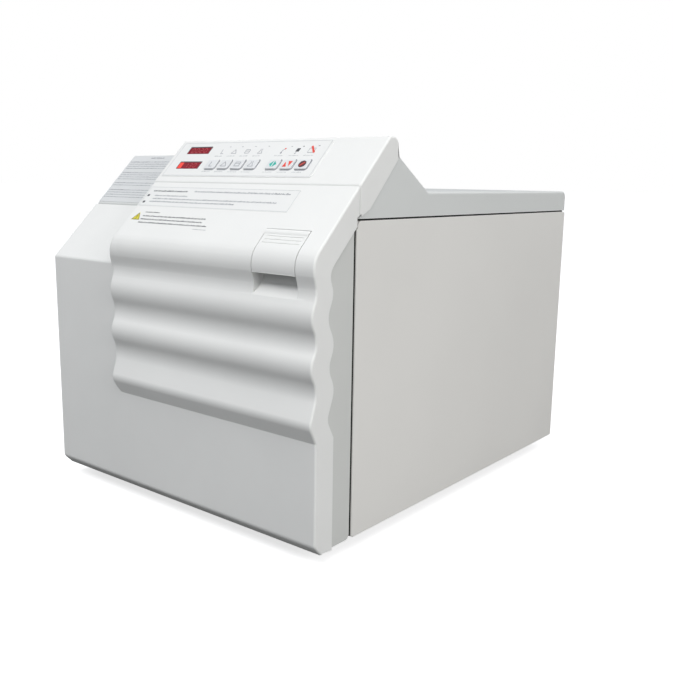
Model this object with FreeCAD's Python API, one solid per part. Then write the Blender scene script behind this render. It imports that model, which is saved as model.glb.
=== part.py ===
"""Benchtop steam autoclave with a drop-down front door, one STEP file per piece.

Working datum: X = 0 in the middle of the cabinet, Y = 0 on the parting plane between
the door and the cabinet (the door is on the -Y side), Z = 0 at the cabinet's lower edge.
Every piece is moved at export, so that the origin is the bottom centre of the object.
Millimetres, +Z up, the front faces -Y.
"""
import FreeCAD, Part
import math
import os

os.makedirs("parts", exist_ok=True)
V = FreeCAD.Vector
AXIS_X = V(1, 0, 0)
AXIS_Y = V(0, 1, 0)
AXIS_Z = V(0, 0, 1)

# ---------------------------------------------------------------- driving sizes
WIDTH = 450.0                  # over the door cover
HALF = WIDTH / 2
CABINET_BACK = 505.0           # rear edge of the side panels
FRONT_FLAT = -61.5             # plain lower face of the door
WAVE_CREST = -69.8             # most forward point of the door
FOOT_HEIGHT = 16.0
PANEL_TOP = 344.0              # upper edge of the side panels
ROOF = 373.5                   # flat top of the hood
HOUSING_TOP = 430.5            # top of the control housing
RAISED_SLANT = 376.0           # raised 45 degree face:   Z = Y + RAISED_SLANT
LOW_SLANT = 344.4              # recessed 45 degree face: Z = Y + LOW_SLANT
RAISED_LEFT = -100.0           # left edge of the raised face
HOOD_BOTTOM = 346.0            # lower edge of the hood
RAISED_REAR = 2.8              # rear edge of the raised slanted face
LOW_REAR = 4.4                 # rear edge of the recessed slanted face
SEAM_Y = 4.2                   # front edge of the control housing
PANEL_Y = 2.0                  # where distances up the slants are counted from
CASE_HALF = 223.0              # half width over the side panels
SHEET = 1.5                    # cabinet sheet metal
WALL = 3.5                     # moulded covers, measured along Y

CHAMBER_X = 62.0
CHAMBER_Z = 180.0
CHAMBER_BORE = 139.7           # radius, 11 inch chamber
CHAMBER_WALL = 3.0
CHAMBER_FRONT = 12.0
CHAMBER_DEPTH = 428.0
FLANGE_RADIUS = 152.0
FLANGE_FRONT = 5.5
INSULATION_RADIUS = 154.5

HINGE_Y = -40.0                # door pivot
HINGE_Z = 17.0
HINGE_X = 189.0
HINGE_PIN = 4.0                # radius
PIN_CLEARANCE = 0.05

LATCH_X = (139.3, 200.3)       # opening in the door cover
LATCH_Z = (268.0, 334.6)
LATCH_LIP = 291.0              # lower edge of the paddle
LATCH_TOP = 333.6              # upper edge of the paddle
LATCH_GAP = 0.9
LATCH_PIVOT = (-40.5, 328.0)   # Y, Z
HOOK_PIVOT = (-12.0, 325.0)    # Y, Z
HOOK_X = 172.0

KEY_WIDTH = 17.0
KEY_HEIGHT = 14.6
KEY_GAP = 0.4
KEY_S = 31.5                   # distance up the slant
PROGRAM_KEYS_X = (-15.8, 6.6, 29.0, 51.4)
ACTION_KEYS_X = (85.6, 107.7, 129.8)
DISPLAY_X = (-75.5, -36.0)
DISPLAY_HEIGHT = 12.2
DISPLAYS_S = (30.8, 56.6)      # middle of the lower and the upper window

REAR_PLANE = 494.0             # outer face of the recessed rear panel
CAP_X = -162.0
CAP_Y = 400.0
CAP_RADIUS = 28.5
FAN_X = -165.0
FAN_Z = 78.0
RELIEF_X = 150.0
RELIEF_Z = 262.0
INLET_X = -75.0
INLET_Z = 42.0
BREAKERS_Z = (88.0, 120.0)

TO_ORIGIN = V(0, -(CABINET_BACK + WAVE_CREST) / 2, FOOT_HEIGHT)


# ---------------------------------------------------------------- helpers
def box(xs, ys, zs):
    """Box between two limits on each axis."""
    return Part.makeBox(xs[1] - xs[0], ys[1] - ys[0], zs[1] - zs[0], V(xs[0], ys[0], zs[0]))


def rod(start, axis, radius, length):
    return Part.makeCylinder(radius, length, V(*start), axis)


def tube(start, axis, outer, inner, length):
    return rod(start, axis, outer, length).cut(rod(start, axis, inner, length))


def rounded_wire(corners, closed=True):
    """Wire through points (vector, radius) whose corners are tangent arcs."""
    count = len(corners)
    edges = []
    tail = None
    first = None
    for i, (point, radius) in enumerate(corners):
        at_end = not closed and i in (0, count - 1)
        before = corners[i - 1][0]
        after = corners[(i + 1) % count][0]
        if radius <= 0 or at_end:
            enter, leave, arc = point, point, None
        else:
            u = (before - point).normalize()
            w = (after - point).normalize()
            half = math.acos(max(-1.0, min(1.0, u.dot(w)))) / 2
            reach = radius / math.tan(half)
            enter, leave = point + u * reach, point + w * reach
            bisector = (u + w).normalize()
            middle = point + bisector * (radius / math.sin(half) - radius)
            arc = Part.Arc(enter, middle, leave).toShape()
        if tail is not None and (enter - tail).Length > 1e-6:
            edges.append(Part.LineSegment(tail, enter).toShape())
        if arc:
            edges.append(arc)
        tail = leave
        first = first or enter
    if closed and (first - tail).Length > 1e-6:
        edges.append(Part.LineSegment(tail, first).toShape())
    return Part.Wire(edges)


def prism(outline, xs):
    """Sweep a (Y, Z) or (Y, Z, corner radius) outline along X."""
    corners = [(V(xs[0], p[0], p[1]), p[2] if len(p) > 2 else 0.0) for p in outline]
    return Part.Face(rounded_wire(corners)).extrude(V(xs[1] - xs[0], 0, 0))


def plate(outline, thickness):
    """Extrude an (X, Y) or (X, Y, corner radius) outline upward from Z = 0."""
    corners = [(V(p[0], p[1], 0), p[2] if len(p) > 2 else 0.0) for p in outline]
    return Part.Face(rounded_wire(corners)).extrude(V(0, 0, thickness))


def rounded_block(xs, ys, zs, radius):
    """Block whose four vertical edges are round."""
    outline = [(x, y, radius) for x, y in
               ((xs[0], ys[0]), (xs[1], ys[0]), (xs[1], ys[1]), (xs[0], ys[1]))]
    return plate(outline, zs[1] - zs[0]).translate(V(0, 0, zs[0]))


def pipe(points, radius, bend):
    """Round tube of one radius along a bent route."""
    route = rounded_wire([(V(*p), bend) for p in points], closed=False)
    heading = V(*points[1]) - V(*points[0])
    ring = Part.Wire(Part.makeCircle(radius, V(*points[0]), heading))
    return route.makePipeShell([ring], True, True)


def on_slant(shape):
    """Carry a shape from flat local axes to the raised slant: local X stays X, local Y runs up
    the slant, local Z points out of it."""
    foot = V(0, PANEL_Y, PANEL_Y + RAISED_SLANT)
    placed = shape.copy()
    placed.Placement = FreeCAD.Placement(foot, FreeCAD.Rotation(AXIS_X, 45)).multiply(placed.Placement)
    return placed


def fuse(*shapes):
    return shapes[0].multiFuse(list(shapes[1:])).removeSplitter()


def cut(shape, *tools):
    return shape.cut(list(tools))


def mirrored(shape):
    return shape.mirror(V(0, 0, 0), AXIS_X)


def save(name, shape):
    """Move a piece to the object's origin and write its STEP file."""
    moved = shape.copy()
    moved.translate(TO_ORIGIN)
    moved.exportStep("parts/" + name + ".step")


# ---------------------------------------------------------------- outlines of the door
# Front outline of the raised part, from the lower edge up to the seam. The waves
# are a zigzag whose corners are rounded until they meet.
BEVEL = [(-51.0, 0.0, 0), (FRONT_FLAT, 11.0, 8)]
WAVES = [(FRONT_FLAT, 123.0, 3), (-71.0, 142.0, 14), (-59.6, 176.5, 26),
         (-72.9, 200.8, 24), (-58.6, 225.2, 24), (-71.6, 249.8, 28), (-60.6, 276.3, 26)]
RAISED_FRONT = BEVEL + WAVES + [(-70.6, RAISED_SLANT - 70.6, 28),
                                (RAISED_REAR, RAISED_SLANT + RAISED_REAR, 0)]
LEFT_FRONT = BEVEL + [(FRONT_FLAT, FRONT_FLAT + LOW_SLANT, 5), (LOW_REAR, LOW_SLANT + LOW_REAR, 0)]
# Rear edges of the cover's side walls: straight down at the foot, then along the front outline.
SKIRT_REAR = -33.6
SKIRT_DROP = 37.9              # from a slanted face down to the rear edge beside it
SKIRT_FOOT = [(SKIRT_REAR, -33.0, 0)]
RAISED_SKIRT = SKIRT_FOOT + [(SKIRT_REAR, 124.5, 3), (-44.3, 144.5, 14), (-32.0, 176.0, 24),
                             (-43.8, 197.5, 22), (-32.9, 223.0, 24), (-46.2, 248.5, 24),
                             (-35.6, 273.5, 20), (-43.8, RAISED_SLANT - SKIRT_DROP - 43.8, 16),
                             (RAISED_REAR, RAISED_SLANT - SKIRT_DROP + RAISED_REAR, 0)]
LEFT_SKIRT = SKIRT_FOOT + [(SKIRT_REAR, LOW_SLANT - SKIRT_DROP + SKIRT_REAR, 5),
                           (LOW_REAR, LOW_SLANT - SKIRT_DROP + LOW_REAR, 0)]


def behind(front, distance=0.0):
    """Closed outline of everything that lies a distance in Y behind an outline."""
    moved = [(y + distance, z, r) for y, z, r in front]
    return moved + [(80.0, moved[-1][1] + 40.0, 0), (80.0, moved[0][1] - 40.0, 0),
                    (moved[0][0], moved[0][1] - 40.0, 0)]


def body_behind(front):
    """Closed outline of the solid between a front outline and the parting plane. Only its upper
    edge, above the side panels, reaches past that plane."""
    rear, top, _ = front[-1]
    lip = min(top - WALL - 0.5, HOOD_BOTTOM + 1.5)
    return front + [(rear, lip, 0), (0.0, lip - rear, 0), (0.0, 0.0, 0)]


def door_blank():
    """The door's outer form: low left column and raised part."""
    left = prism(body_behind(LEFT_FRONT), (-HALF, RAISED_LEFT + 1))
    raised = prism(body_behind(RAISED_FRONT), (RAISED_LEFT, HALF))
    return left.fuse(raised)


def door_cover():
    """Moulded front cover: skin, side walls and the opening for the latch paddle."""
    inner_left = prism(behind(LEFT_FRONT, WALL), (-HALF + WALL, RAISED_LEFT + WALL))
    inner_raised = prism(behind(RAISED_FRONT, WALL), (RAISED_LEFT + WALL, HALF - WALL))
    skirt_left = prism(behind(LEFT_SKIRT), (-HALF - 1, RAISED_LEFT))
    skirt_right = prism(behind(RAISED_SKIRT), (RAISED_LEFT, HALF + 1))
    opening = box(LATCH_X, (-90, -20), LATCH_Z)
    arms = [box((side * HINGE_X - 5, side * HINGE_X + 5), (-47.5, 1), (-1, 2)) for side in (-1, 1)]
    shell = cut(door_blank(), inner_left, inner_raised, skirt_left, skirt_right, opening, *arms)
    return shell.removeSplitter()


FRAME_HALF = 221.2
FRAME_WALL = 2.5
FRAME_FRONT = -44.0
RAISED_FRAME = [(-42.0, 0.5, 0), (0.0, 0.5, 6), (0.0, RAISED_SLANT - 8, 0),
                (FRAME_FRONT, RAISED_SLANT - 8 + FRAME_FRONT, 0), (FRAME_FRONT, 8.0, 0)]
LOW_FRAME = [(-42.0, 0.5, 0), (0.0, 0.5, 6), (0.0, LOW_SLANT - 8, 0),
             (FRAME_FRONT, LOW_SLANT - 8 + FRAME_FRONT, 0), (FRAME_FRONT, 8.0, 0)]
FRAME_STEP = RAISED_LEFT + WALL + 1.0


def frame_form(inset, front):
    """The inner frame's form drawn in by a wall thickness, reaching forward to a plane."""
    def profile(outline):
        bottom = 0.5 + inset
        top = outline[2][1] - inset * math.sqrt(2)
        radius = max(6.0 - inset, 1.0)
        return [(front, bottom, 0), (-inset, bottom, radius), (-inset, top - inset, 0),
                (front, top + front, 0)]
    low = prism(profile(LOW_FRAME), (-FRAME_HALF + inset, FRAME_STEP + inset + 1))
    raised = prism(profile(RAISED_FRAME), (FRAME_STEP + inset, FRAME_HALF - inset))
    return low.fuse(raised)


def door_frame():
    """Grey inner frame: a tray open to the front, with hinge ears and the plate opening."""
    outer = prism(LOW_FRAME, (-FRAME_HALF, FRAME_STEP + 1)).fuse(
        prism(RAISED_FRAME, (FRAME_STEP, FRAME_HALF)))
    shell = outer.cut(frame_form(FRAME_WALL, FRAME_FRONT - 5))
    ears = []
    for side in (-1, 1):
        for offset in (-9.0, 9.0):
            x = side * HINGE_X + offset
            outline = [(-34, 0.6, 0), (-2.0, 0.6, 0), (-2.0, 30, 0), (-46, 30, 0), (-46, 12, 0)]
            ears.append(prism(outline, (x - 3, x + 3)))
    shell = fuse(shell, *ears)
    plate_hole = rod((CHAMBER_X, -8, CHAMBER_Z), AXIS_Y, 151.5, 12)
    bores = [rod((side * HINGE_X - 20, HINGE_Y, HINGE_Z), AXIS_X, HINGE_PIN, 40) for side in (-1, 1)]
    arm_slots = [box((side * HINGE_X - 5, side * HINGE_X + 5), (-50, 1), (-1, 26)) for side in (-1, 1)]
    latch_notch = box((LATCH_X[0] - 4, LATCH_X[1] + 4), (-60, -22), (262, 350))
    hook_slot = box((HOOK_X - 6, HOOK_X + 6), (-5, 1), (310, 345))
    return cut(shell, plate_hole, *bores, *arm_slots, latch_notch, hook_slot)


# ---------------------------------------------------------------- latch
def latch_band(thickness):
    """Strip of the raised front, seen through the latch opening."""
    skin = prism(body_behind(RAISED_FRONT), (LATCH_X[0] + LATCH_GAP, LATCH_X[1] - LATCH_GAP))
    return skin.cut(prism(behind(RAISED_FRONT, thickness), (LATCH_X[0], LATCH_X[1])))


def latch_handle():
    """Paddle with its barrel and the lever that lifts the hook."""
    y, z = LATCH_PIVOT
    turning_radius = 6.3
    xs = (LATCH_X[0] + LATCH_GAP, LATCH_X[1] - LATCH_GAP)
    width = xs[1] - xs[0]
    barrel = rod((xs[0], y, z), AXIS_X, turning_radius, width)
    keep = box((xs[0], xs[1]), (-90, 0), (LATCH_LIP, LATCH_TOP)).fuse(barrel)
    paddle = latch_band(5.0).common(keep)
    grooves = []
    for k in range(3):
        groove_z = 327.4 - 3.2 * k
        groove_y = groove_z - RAISED_SLANT
        grooves.append(rod((xs[0] + 4, groove_y, groove_z), AXIS_X, 0.7, width - 8))
    web = prism([(-54, 318, 0), (-40.5, 322, 0), (-36, 328, 0), (-48, 327.5, 0)], xs)
    lip = prism([(-65.8, LATCH_LIP, 0), (-58.0, LATCH_LIP, 0), (-58.0, LATCH_LIP + 3, 0), (-62, 297, 0)], xs)
    lever = prism([(-42, 324, 0), (-26, 322.0, 0), (-26, 325.0, 0), (-40, 331, 0)], (HOOK_X - 3, HOOK_X + 3))
    solid = fuse(paddle, barrel, web, lip, lever)
    bore = rod((xs[0] - 1, y, z), AXIS_X, 2.0 + PIN_CLEARANCE, width + 2)
    return cut(solid, bore, *grooves)


POCKET_CAVITY = [(-90, LATCH_Z[0], 0), (-63.2, LATCH_Z[0], 0), (-52, 276, 10), (-44, 292, 10),
                 (-30, 306, 6), (-30, LATCH_Z[1], 0), (-90, LATCH_Z[1], 0)]
POCKET_OUTER = [(-61.2, LATCH_Z[0] - 1.5, 0), (-50, 272.5, 0), (-41, 291, 0), (-27.5, 305, 0),
                (-27.5, LATCH_Z[1] + 2, 0), (-37.0, LATCH_Z[1] + 2, 0), (-57.5, 314, 0), (-59, 295, 0)]


def latch_pocket():
    """Finger recess behind the paddle, closed to the inside of the door."""
    outer = prism(POCKET_OUTER, (LATCH_X[0] - 2.2, LATCH_X[1] + 2.2))
    cavity = prism(POCKET_CAVITY, LATCH_X)
    outside = prism(behind(RAISED_FRONT, WALL), (LATCH_X[0] - 5, LATCH_X[1] + 5))
    lever_slot = box((HOOK_X - 5, HOOK_X + 5), (-31, -20), (312, 330))
    y, z = LATCH_PIVOT
    bore = rod((LATCH_X[0] - 5, y, z), AXIS_X, 2.0, 80)
    return cut(outer.common(outside), cavity, lever_slot, bore)


def latch_hook():
    """Hook over the striker, drawn raised clear of it."""
    y, z = HOOK_PIVOT
    outline = [(-25, 318.0, 1), (-17, 318.0, 0), (y, z - 6, 0), (11, 322.0, 0), (11, 319.0, 1),
               (16.5, 319.0, 1), (16.5, 328.0, 2), (y, z + 6, 4), (-18, 321.2, 0), (-25, 321.0, 1)]
    body = prism(outline, (HOOK_X - 2.5, HOOK_X + 2.5))
    return body.cut(rod((HOOK_X - 5, y, z), AXIS_X, 2.5 + PIN_CLEARANCE, 10))


def door_pins():
    """Two hinge pins, the paddle's pin and the hook's pin with its two-sided bracket."""
    pins = [rod((side * HINGE_X - 12, HINGE_Y, HINGE_Z), AXIS_X, HINGE_PIN, 24) for side in (-1, 1)]
    y, z = LATCH_PIVOT
    pins.append(rod((LATCH_X[0] - 2.2, y, z), AXIS_X, 2.0, LATCH_X[1] - LATCH_X[0] + 4.4))
    y, z = HOOK_PIVOT
    hook_pin = rod((HOOK_X - 7, y, z), AXIS_X, 2.5, 14)
    cheeks = [box((x, x + 2.5), (-17, -FRAME_WALL - 0.01), (z - 6, z + 6))
              for x in (HOOK_X - 7, HOOK_X + 4.5)]
    pins.append(fuse(hook_pin, *cheeks))
    return Part.makeCompound(pins)


def latch_striker():
    """Bracket with a bar that the hook catches, on the back of the bulkhead."""
    foot = box((HOOK_X - 14, HOOK_X + 14), (10.2, 12.2), (298, 312))
    cheeks = [box((x, x + 2), (10.2, 18), (306, 318)) for x in (HOOK_X - 14, HOOK_X + 12)]
    bar = rod((HOOK_X - 14, 14.0, 313.5), AXIS_X, 3.0, 28)
    return fuse(foot, bar, *cheeks)


# ---------------------------------------------------------------- pressure door
def door_plate():
    """Round pressure plate with a gasket groove and a shallow dish on its cabinet side."""
    disc = rod((CHAMBER_X, -9, CHAMBER_Z), AXIS_Y, 149.0, 10)
    groove = tube((CHAMBER_X, 0, CHAMBER_Z), AXIS_Y, 148.2, 140.8, 2)
    dish = Part.makeCone(128, 132, 3.0, V(CHAMBER_X, -1.5, CHAMBER_Z), AXIS_Y)
    boss = rod((CHAMBER_X, -16, CHAMBER_Z), AXIS_Y, 18, 8)
    return cut(fuse(disc, boss), groove, dish)


def door_gasket():
    """Silicone ring between the plate and the chamber flange, with a rounded sealing bead."""
    ring = tube((CHAMBER_X, 0.0, CHAMBER_Z), AXIS_Y, 148.0, 141.0, 3.2)
    bead = Part.makeTorus(144.5, 1.9, V(CHAMBER_X, 3.2, CHAMBER_Z), AXIS_Y)
    return fuse(ring, bead)


def door_yoke():
    """Cross-beam inside the door that carries the plate on one centre bolt."""
    end = FRAME_HALF - FRAME_WALL - 0.1
    beam = box((-end, end), (-32, -16.2), (CHAMBER_Z - 22, CHAMBER_Z + 22))
    hollow = box((-FRAME_HALF, FRAME_HALF), (-29, -19), (CHAMBER_Z - 19, CHAMBER_Z + 19))
    bolt = rod((CHAMBER_X, -40, CHAMBER_Z), AXIS_Y, 6, 24)
    head = rod((CHAMBER_X, -42, CHAMBER_Z), AXIS_Y, 11, 10)
    return fuse(beam.cut(hollow), bolt, head)


# ---------------------------------------------------------------- cabinet
def side_panel():
    """Right-hand side panel with inward flanges; the left one is its mirror image."""
    def form(inset, xs):
        ys = (4.0 + inset, CABINET_BACK - inset)
        zs = (1.0 + inset, PANEL_TOP - inset)
        radii = (2.0, 2.0, 4.0, 6.0)
        corners = ((ys[0], zs[0]), (ys[1], zs[0]), (ys[1], zs[1]), (ys[0], zs[1]))
        return prism([(y, z, r - inset) for (y, z), r in zip(corners, radii)], xs)

    inner = CASE_HALF - SHEET
    solid = form(0, (inner - 12, CASE_HALF)).cut(form(SHEET, (inner - 13, inner)))
    return solid.makeFillet(0.8, [e for e in solid.Edges if is_outer_edge(e, CASE_HALF)])


def is_outer_edge(edge, x):
    """True for the edges of a panel's outer face at X = x."""
    bounds = edge.BoundBox
    return abs(bounds.XMin - x) < 0.01 and abs(bounds.XMax - x) < 0.01


def base_pan():
    """Folded floor tray with upturned rims."""
    outer = box((-219.8, 219.8), (7.0, 492.0), (2.6, 24.0))
    inner = box((-219.8 + SHEET, 219.8 - SHEET), (7.0 + SHEET, 492.0 - SHEET), (2.6 + SHEET, 30.0))
    slots = [box((side * HINGE_X - 4, side * HINGE_X + 4), (0, 12), (4.2, 30)) for side in (-1, 1)]
    vents = []
    for row in range(6):
        for column in range(2):
            x = -60 + column * 130
            vents.append(box((x - 35, x + 35), (150 + row * 24, 156 + row * 24), (0, 6)))
    return cut(outer, inner, *slots, *vents)


FEET_XY = [(x, y) for x in (-184, 184) for y in (45, 462)]


def rubber_feet():
    """Four moulded feet with a screw recess."""
    feet = []
    for x, y in FEET_XY:
        body = Part.makeCone(13, 15.5, FOOT_HEIGHT + 2.6, V(x, y, -FOOT_HEIGHT), AXIS_Z)
        recess = rod((x, y, -FOOT_HEIGHT), AXIS_Z, 6.5, 8)
        feet.append(body.cut(recess))
    return Part.makeCompound(feet)


def hinge_arms():
    """Two steel arms from the floor tray to the door's pivot."""
    y, z = HINGE_Y, HINGE_Z
    arms = []
    for side in (-1, 1):
        xs = (side * HINGE_X - 3, side * HINGE_X + 3)
        bar = box(xs, (y, 62), (z - 6, z + 6))
        foot = box(xs, (12, 62), (4.1, z))
        tab = box((min(xs[0], xs[0] - side * 18), max(xs[1], xs[1] - side * 18)), (12, 62), (4.1, 6.1))
        eye = rod((xs[0], y, z), AXIS_X, 6, 6)
        arm = fuse(bar, foot, tab, eye)
        arms.append(arm.cut(rod((xs[0] - 1, y, z), AXIS_X, HINGE_PIN + PIN_CLEARANCE, 8)))
    return Part.makeCompound(arms)


def front_bulkhead():
    """Sheet front of the cabinet, behind the door, with the chamber opening."""
    sheet = box((-219.5, 219.5), (8.6, 10.1), (24.2, 342.0))
    chamber = rod((CHAMBER_X, 0, CHAMBER_Z), AXIS_Y, FLANGE_RADIUS - 4, 20)
    hook_slot = box((HOOK_X - 7, HOOK_X + 7), (0, 20), (314.5, 341))
    tube_holes = [rod((DRAIN_X, 0, z), AXIS_Y, 3.2, 20) for z in DRAIN_Z]
    return cut(sheet, chamber, hook_slot, *tube_holes)


def rear_panel():
    """Recessed rear panel with a fan grille, louvres and the cut-outs of the fittings."""
    sheet = box((-219.5, 219.5), (REAR_PLANE - SHEET, REAR_PLANE), (25.0, 342.0))
    tools = []
    for ring in range(1, 5):
        radius = 8.5 * ring
        band = tube((FAN_X, 480, FAN_Z), AXIS_Y, radius + 2.6, radius - 2.6, 30)
        spokes = box((FAN_X - 50, FAN_X + 50), (470, 520), (FAN_Z - 1.5, FAN_Z + 1.5)).fuse(
            box((FAN_X - 1.5, FAN_X + 1.5), (470, 520), (FAN_Z - 50, FAN_Z + 50)))
        tools.append(band.cut(spokes))
    for row in range(11):
        for column in range(2):
            x = 20 + column * 84
            z = 60 + row * 12
            tools.append(rounded_slot(x, z, 66, 4))
    tools.append(box((INLET_X - 14.5, INLET_X + 14.5), (480, 500), (INLET_Z - 12, INLET_Z + 12)))
    for z in BREAKERS_Z:
        tools.append(rod((INLET_X, 480, z), AXIS_Y, 7.2, 30))
    tools.append(rod((RELIEF_X, 480, RELIEF_Z), AXIS_Y, 8.3, 30))
    return cut(sheet, *tools)


def rounded_slot(x, z, length, height):
    """Cutter for a horizontal slot with round ends through the rear panel."""
    radius = height / 2
    ys = (REAR_PLANE - 10, REAR_PLANE + 10)
    middle = box((x - length / 2 + radius, x + length / 2 - radius), ys, (z - radius, z + radius))
    ends = [rod((x + side * (length / 2 - radius), ys[0], z), AXIS_Y, radius, 20) for side in (-1, 1)]
    return fuse(middle, *ends)


HOOD_HALF = 223.0
HOOD_FRONT = 5.8
HOOD_CREST = 70.0              # Y where the slanted front face meets the rear slope
HOOD_FOOT = 133.0              # Y where the rear slope meets the flat roof
HOOD_REAR = 505.0


def hood_outline(inset):
    """Side outline of the hood, drawn in by a wall thickness."""
    top_drop = inset * math.sqrt(2)
    bottom = HOOD_BOTTOM if inset == 0 else HOOD_BOTTOM - 10
    front = HOOD_FRONT + inset
    radius = max(8.0 - inset, 1.0)
    return [
        (front, bottom, 0),
        (front, front + LOW_SLANT - top_drop, 3 if inset == 0 else 1),
        (HOOD_CREST, HOOD_CREST + LOW_SLANT - top_drop, 1.5),
        (HOOD_FOOT - inset * 0.5, ROOF - inset, 3),
        (HOOD_REAR - inset, ROOF - inset, radius),
        (HOOD_REAR - inset, bottom, 0),
    ]


def top_cover():
    """Grey hood of the cabinet: slanted front face, rear slope, flat roof."""
    wall = 2.5
    outer = prism(hood_outline(0), (-HOOD_HALF, HOOD_HALF))
    roof_edges = [e for e in outer.Edges if is_hood_side_edge(e)]
    outer = outer.makeFillet(3.2, roof_edges)
    inner = prism(hood_outline(wall), (-HOOD_HALF + wall, HOOD_HALF - wall))
    fill_hole = rod((CAP_X, CAP_Y, ROOF - 20), AXIS_Z, CAP_RADIUS + 1.0, 40)
    window = on_slant(box((-90, 148), (12, 66), (-40, -15)))
    return cut(outer, inner, fill_hole, window)


def is_hood_side_edge(edge):
    """True for the roof and rear slope edges along the hood's sides."""
    bounds = edge.BoundBox
    on_side = abs(abs(bounds.XMin) - HOOD_HALF) < 0.01 and bounds.XLength < 0.01
    return on_side and bounds.ZMax > ROOF - 0.5 and bounds.YMin > HOOD_CREST - 1


# ---------------------------------------------------------------- control housing
HOUSING = [(SEAM_Y, SEAM_Y + LOW_SLANT + 0.3, 0), (SEAM_Y, SEAM_Y + RAISED_SLANT, 4),
           (HOUSING_TOP - RAISED_SLANT, HOUSING_TOP, 2), (71.0, HOUSING_TOP, 11),
           (71.0, 71.0 + LOW_SLANT + 0.3, 0)]
HOUSING_HOLLOW = [(SEAM_Y + 2.5, SEAM_Y + LOW_SLANT - 20, 0), (SEAM_Y + 2.5, SEAM_Y + RAISED_SLANT - 2, 0),
                  (HOUSING_TOP - RAISED_SLANT + 1, HOUSING_TOP - 3.5, 2), (68.0, HOUSING_TOP - 3.5, 8),
                  (68.0, 71.0 + LOW_SLANT - 20, 0)]
HOUSING_SIDE = [(SEAM_Y, 347.5, 0), (21.0, 355.6, 0), (71.0, 408.9, 0), (71.0, 418.0, 0), (SEAM_Y, 351.0, 0)]
OVERLAY_X = (-94.0, 152.5)
OVERLAY_S = (12.0, 71.0)


def key_positions():
    """Name and X of each key, from left to right."""
    named = [("program_key_%d" % (i + 1), x) for i, x in enumerate(PROGRAM_KEYS_X)]
    return named + list(zip(("start_key", "dry_key", "stop_key"), ACTION_KEYS_X))


def key_block(x, clearance, low, high):
    half_w = KEY_WIDTH / 2 + clearance
    half_h = KEY_HEIGHT / 2 + clearance
    xs = (x - half_w, x + half_w)
    return rounded_block(xs, (KEY_S - half_h, KEY_S + half_h), (low, high), 2.0 + clearance)


def display_block(s, clearance, low, high):
    half = DISPLAY_HEIGHT / 2 + clearance
    xs = (DISPLAY_X[0] - clearance, DISPLAY_X[1] + clearance)
    return rounded_block(xs, (s - half, s + half), (low, high), 0.8)


def control_housing():
    """Moulded cap of the control panel on top of the hood's slanted face."""
    outer = prism(HOUSING, (RAISED_LEFT, HALF)).fuse(prism(HOUSING_SIDE, (CASE_HALF + 0.3, HALF)))
    hollow = prism(HOUSING_HOLLOW, (RAISED_LEFT + 3.5, HALF - 3.5))
    tools = [on_slant(key_block(x, KEY_GAP, -10, 5)) for name, x in key_positions()]
    tools += [on_slant(display_block(s, 0, -10, 5)) for s in DISPLAYS_S]
    return cut(outer, hollow, *tools)


def keypad_overlay():
    """Printed polyester sheet with openings for the keys and the display windows."""
    sheet = rounded_block(OVERLAY_X, OVERLAY_S, (0.0, 0.5), 3.0)
    tools = [key_block(x, KEY_GAP, -1, 2) for name, x in key_positions()]
    tools += [display_block(s, 0.2, -1, 2) for s in DISPLAYS_S]
    return on_slant(cut(sheet, *tools))


def key(x):
    """One key cap with its stem; it sinks into the housing along the slant's normal."""
    cap = key_block(x, 0, -2.5, 1.6)
    top = cap.makeFillet(0.6, [e for e in cap.Edges if e.BoundBox.ZMin > 1.5])
    stem = rod((x, KEY_S, -6.0), AXIS_Z, 3.0, 4.0)
    return on_slant(top.fuse(stem).removeSplitter())


def display_window(s):
    """Red filter lens."""
    return on_slant(display_block(s, 0, -2.0, 0.7))


def display_board():
    """Circuit board under the control panel with display modules and key switches."""
    board = box((-92, 146), (14, 68), (-14.5, -12.9))
    parts = [board]
    x0, x1 = DISPLAY_X
    for s in DISPLAYS_S:
        parts.append(box((x0 + 0.5, x1 - 0.5), (s - 5.6, s + 5.6), (-13, -2.6)))
    for name, x in key_positions():
        parts.append(box((x - 6, x + 6), (KEY_S - 6, KEY_S + 6), (-13, -9.5)))
        parts.append(rod((x, KEY_S, -9.6), AXIS_Z, 1.8, 2.4))
    for x in (10.0, 60.0, 110.0):
        parts.append(box((x - 8, x + 8), (54, 64), (-13, -10.5)))
    return on_slant(fuse(*parts))


def information_plate():
    """Printed plate on the recessed slanted face, left of the control housing."""
    thickness = 0.5
    sheet = rounded_block((-221.0, -102.0), (8.0, 94.0), (0, thickness), 2.0)
    sheet.Placement = FreeCAD.Placement(V(0, PANEL_Y, PANEL_Y + LOW_SLANT), FreeCAD.Rotation(AXIS_X, 45))
    return sheet


# ---------------------------------------------------------------- chamber
def chamber_vessel():
    """Stainless pressure vessel, closed at the back with a shallow dish."""
    outer_radius = CHAMBER_BORE + CHAMBER_WALL
    back = CHAMBER_FRONT + CHAMBER_DEPTH
    outer = rod((CHAMBER_X, CHAMBER_FRONT, CHAMBER_Z), AXIS_Y, outer_radius, CHAMBER_DEPTH)
    outer = outer.makeFillet(24, [e for e in outer.Edges if e.BoundBox.YMin > back - 0.1])
    bore = rod((CHAMBER_X, CHAMBER_FRONT, CHAMBER_Z), AXIS_Y, CHAMBER_BORE, CHAMBER_DEPTH - CHAMBER_WALL)
    bore = bore.makeFillet(21, [e for e in bore.Edges if e.BoundBox.YMin > back - 5])
    holes = [rod((CHAMBER_X + x, back - 20, ELEMENT_Z), AXIS_Y, 4.3, 40) for x in (-ELEMENT_X, ELEMENT_X)]
    probe = rod((CHAMBER_X, back - 20, CHAMBER_Z + 100), AXIS_Y, 3.3, 40)
    return cut(outer, bore, *holes, probe)


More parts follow.
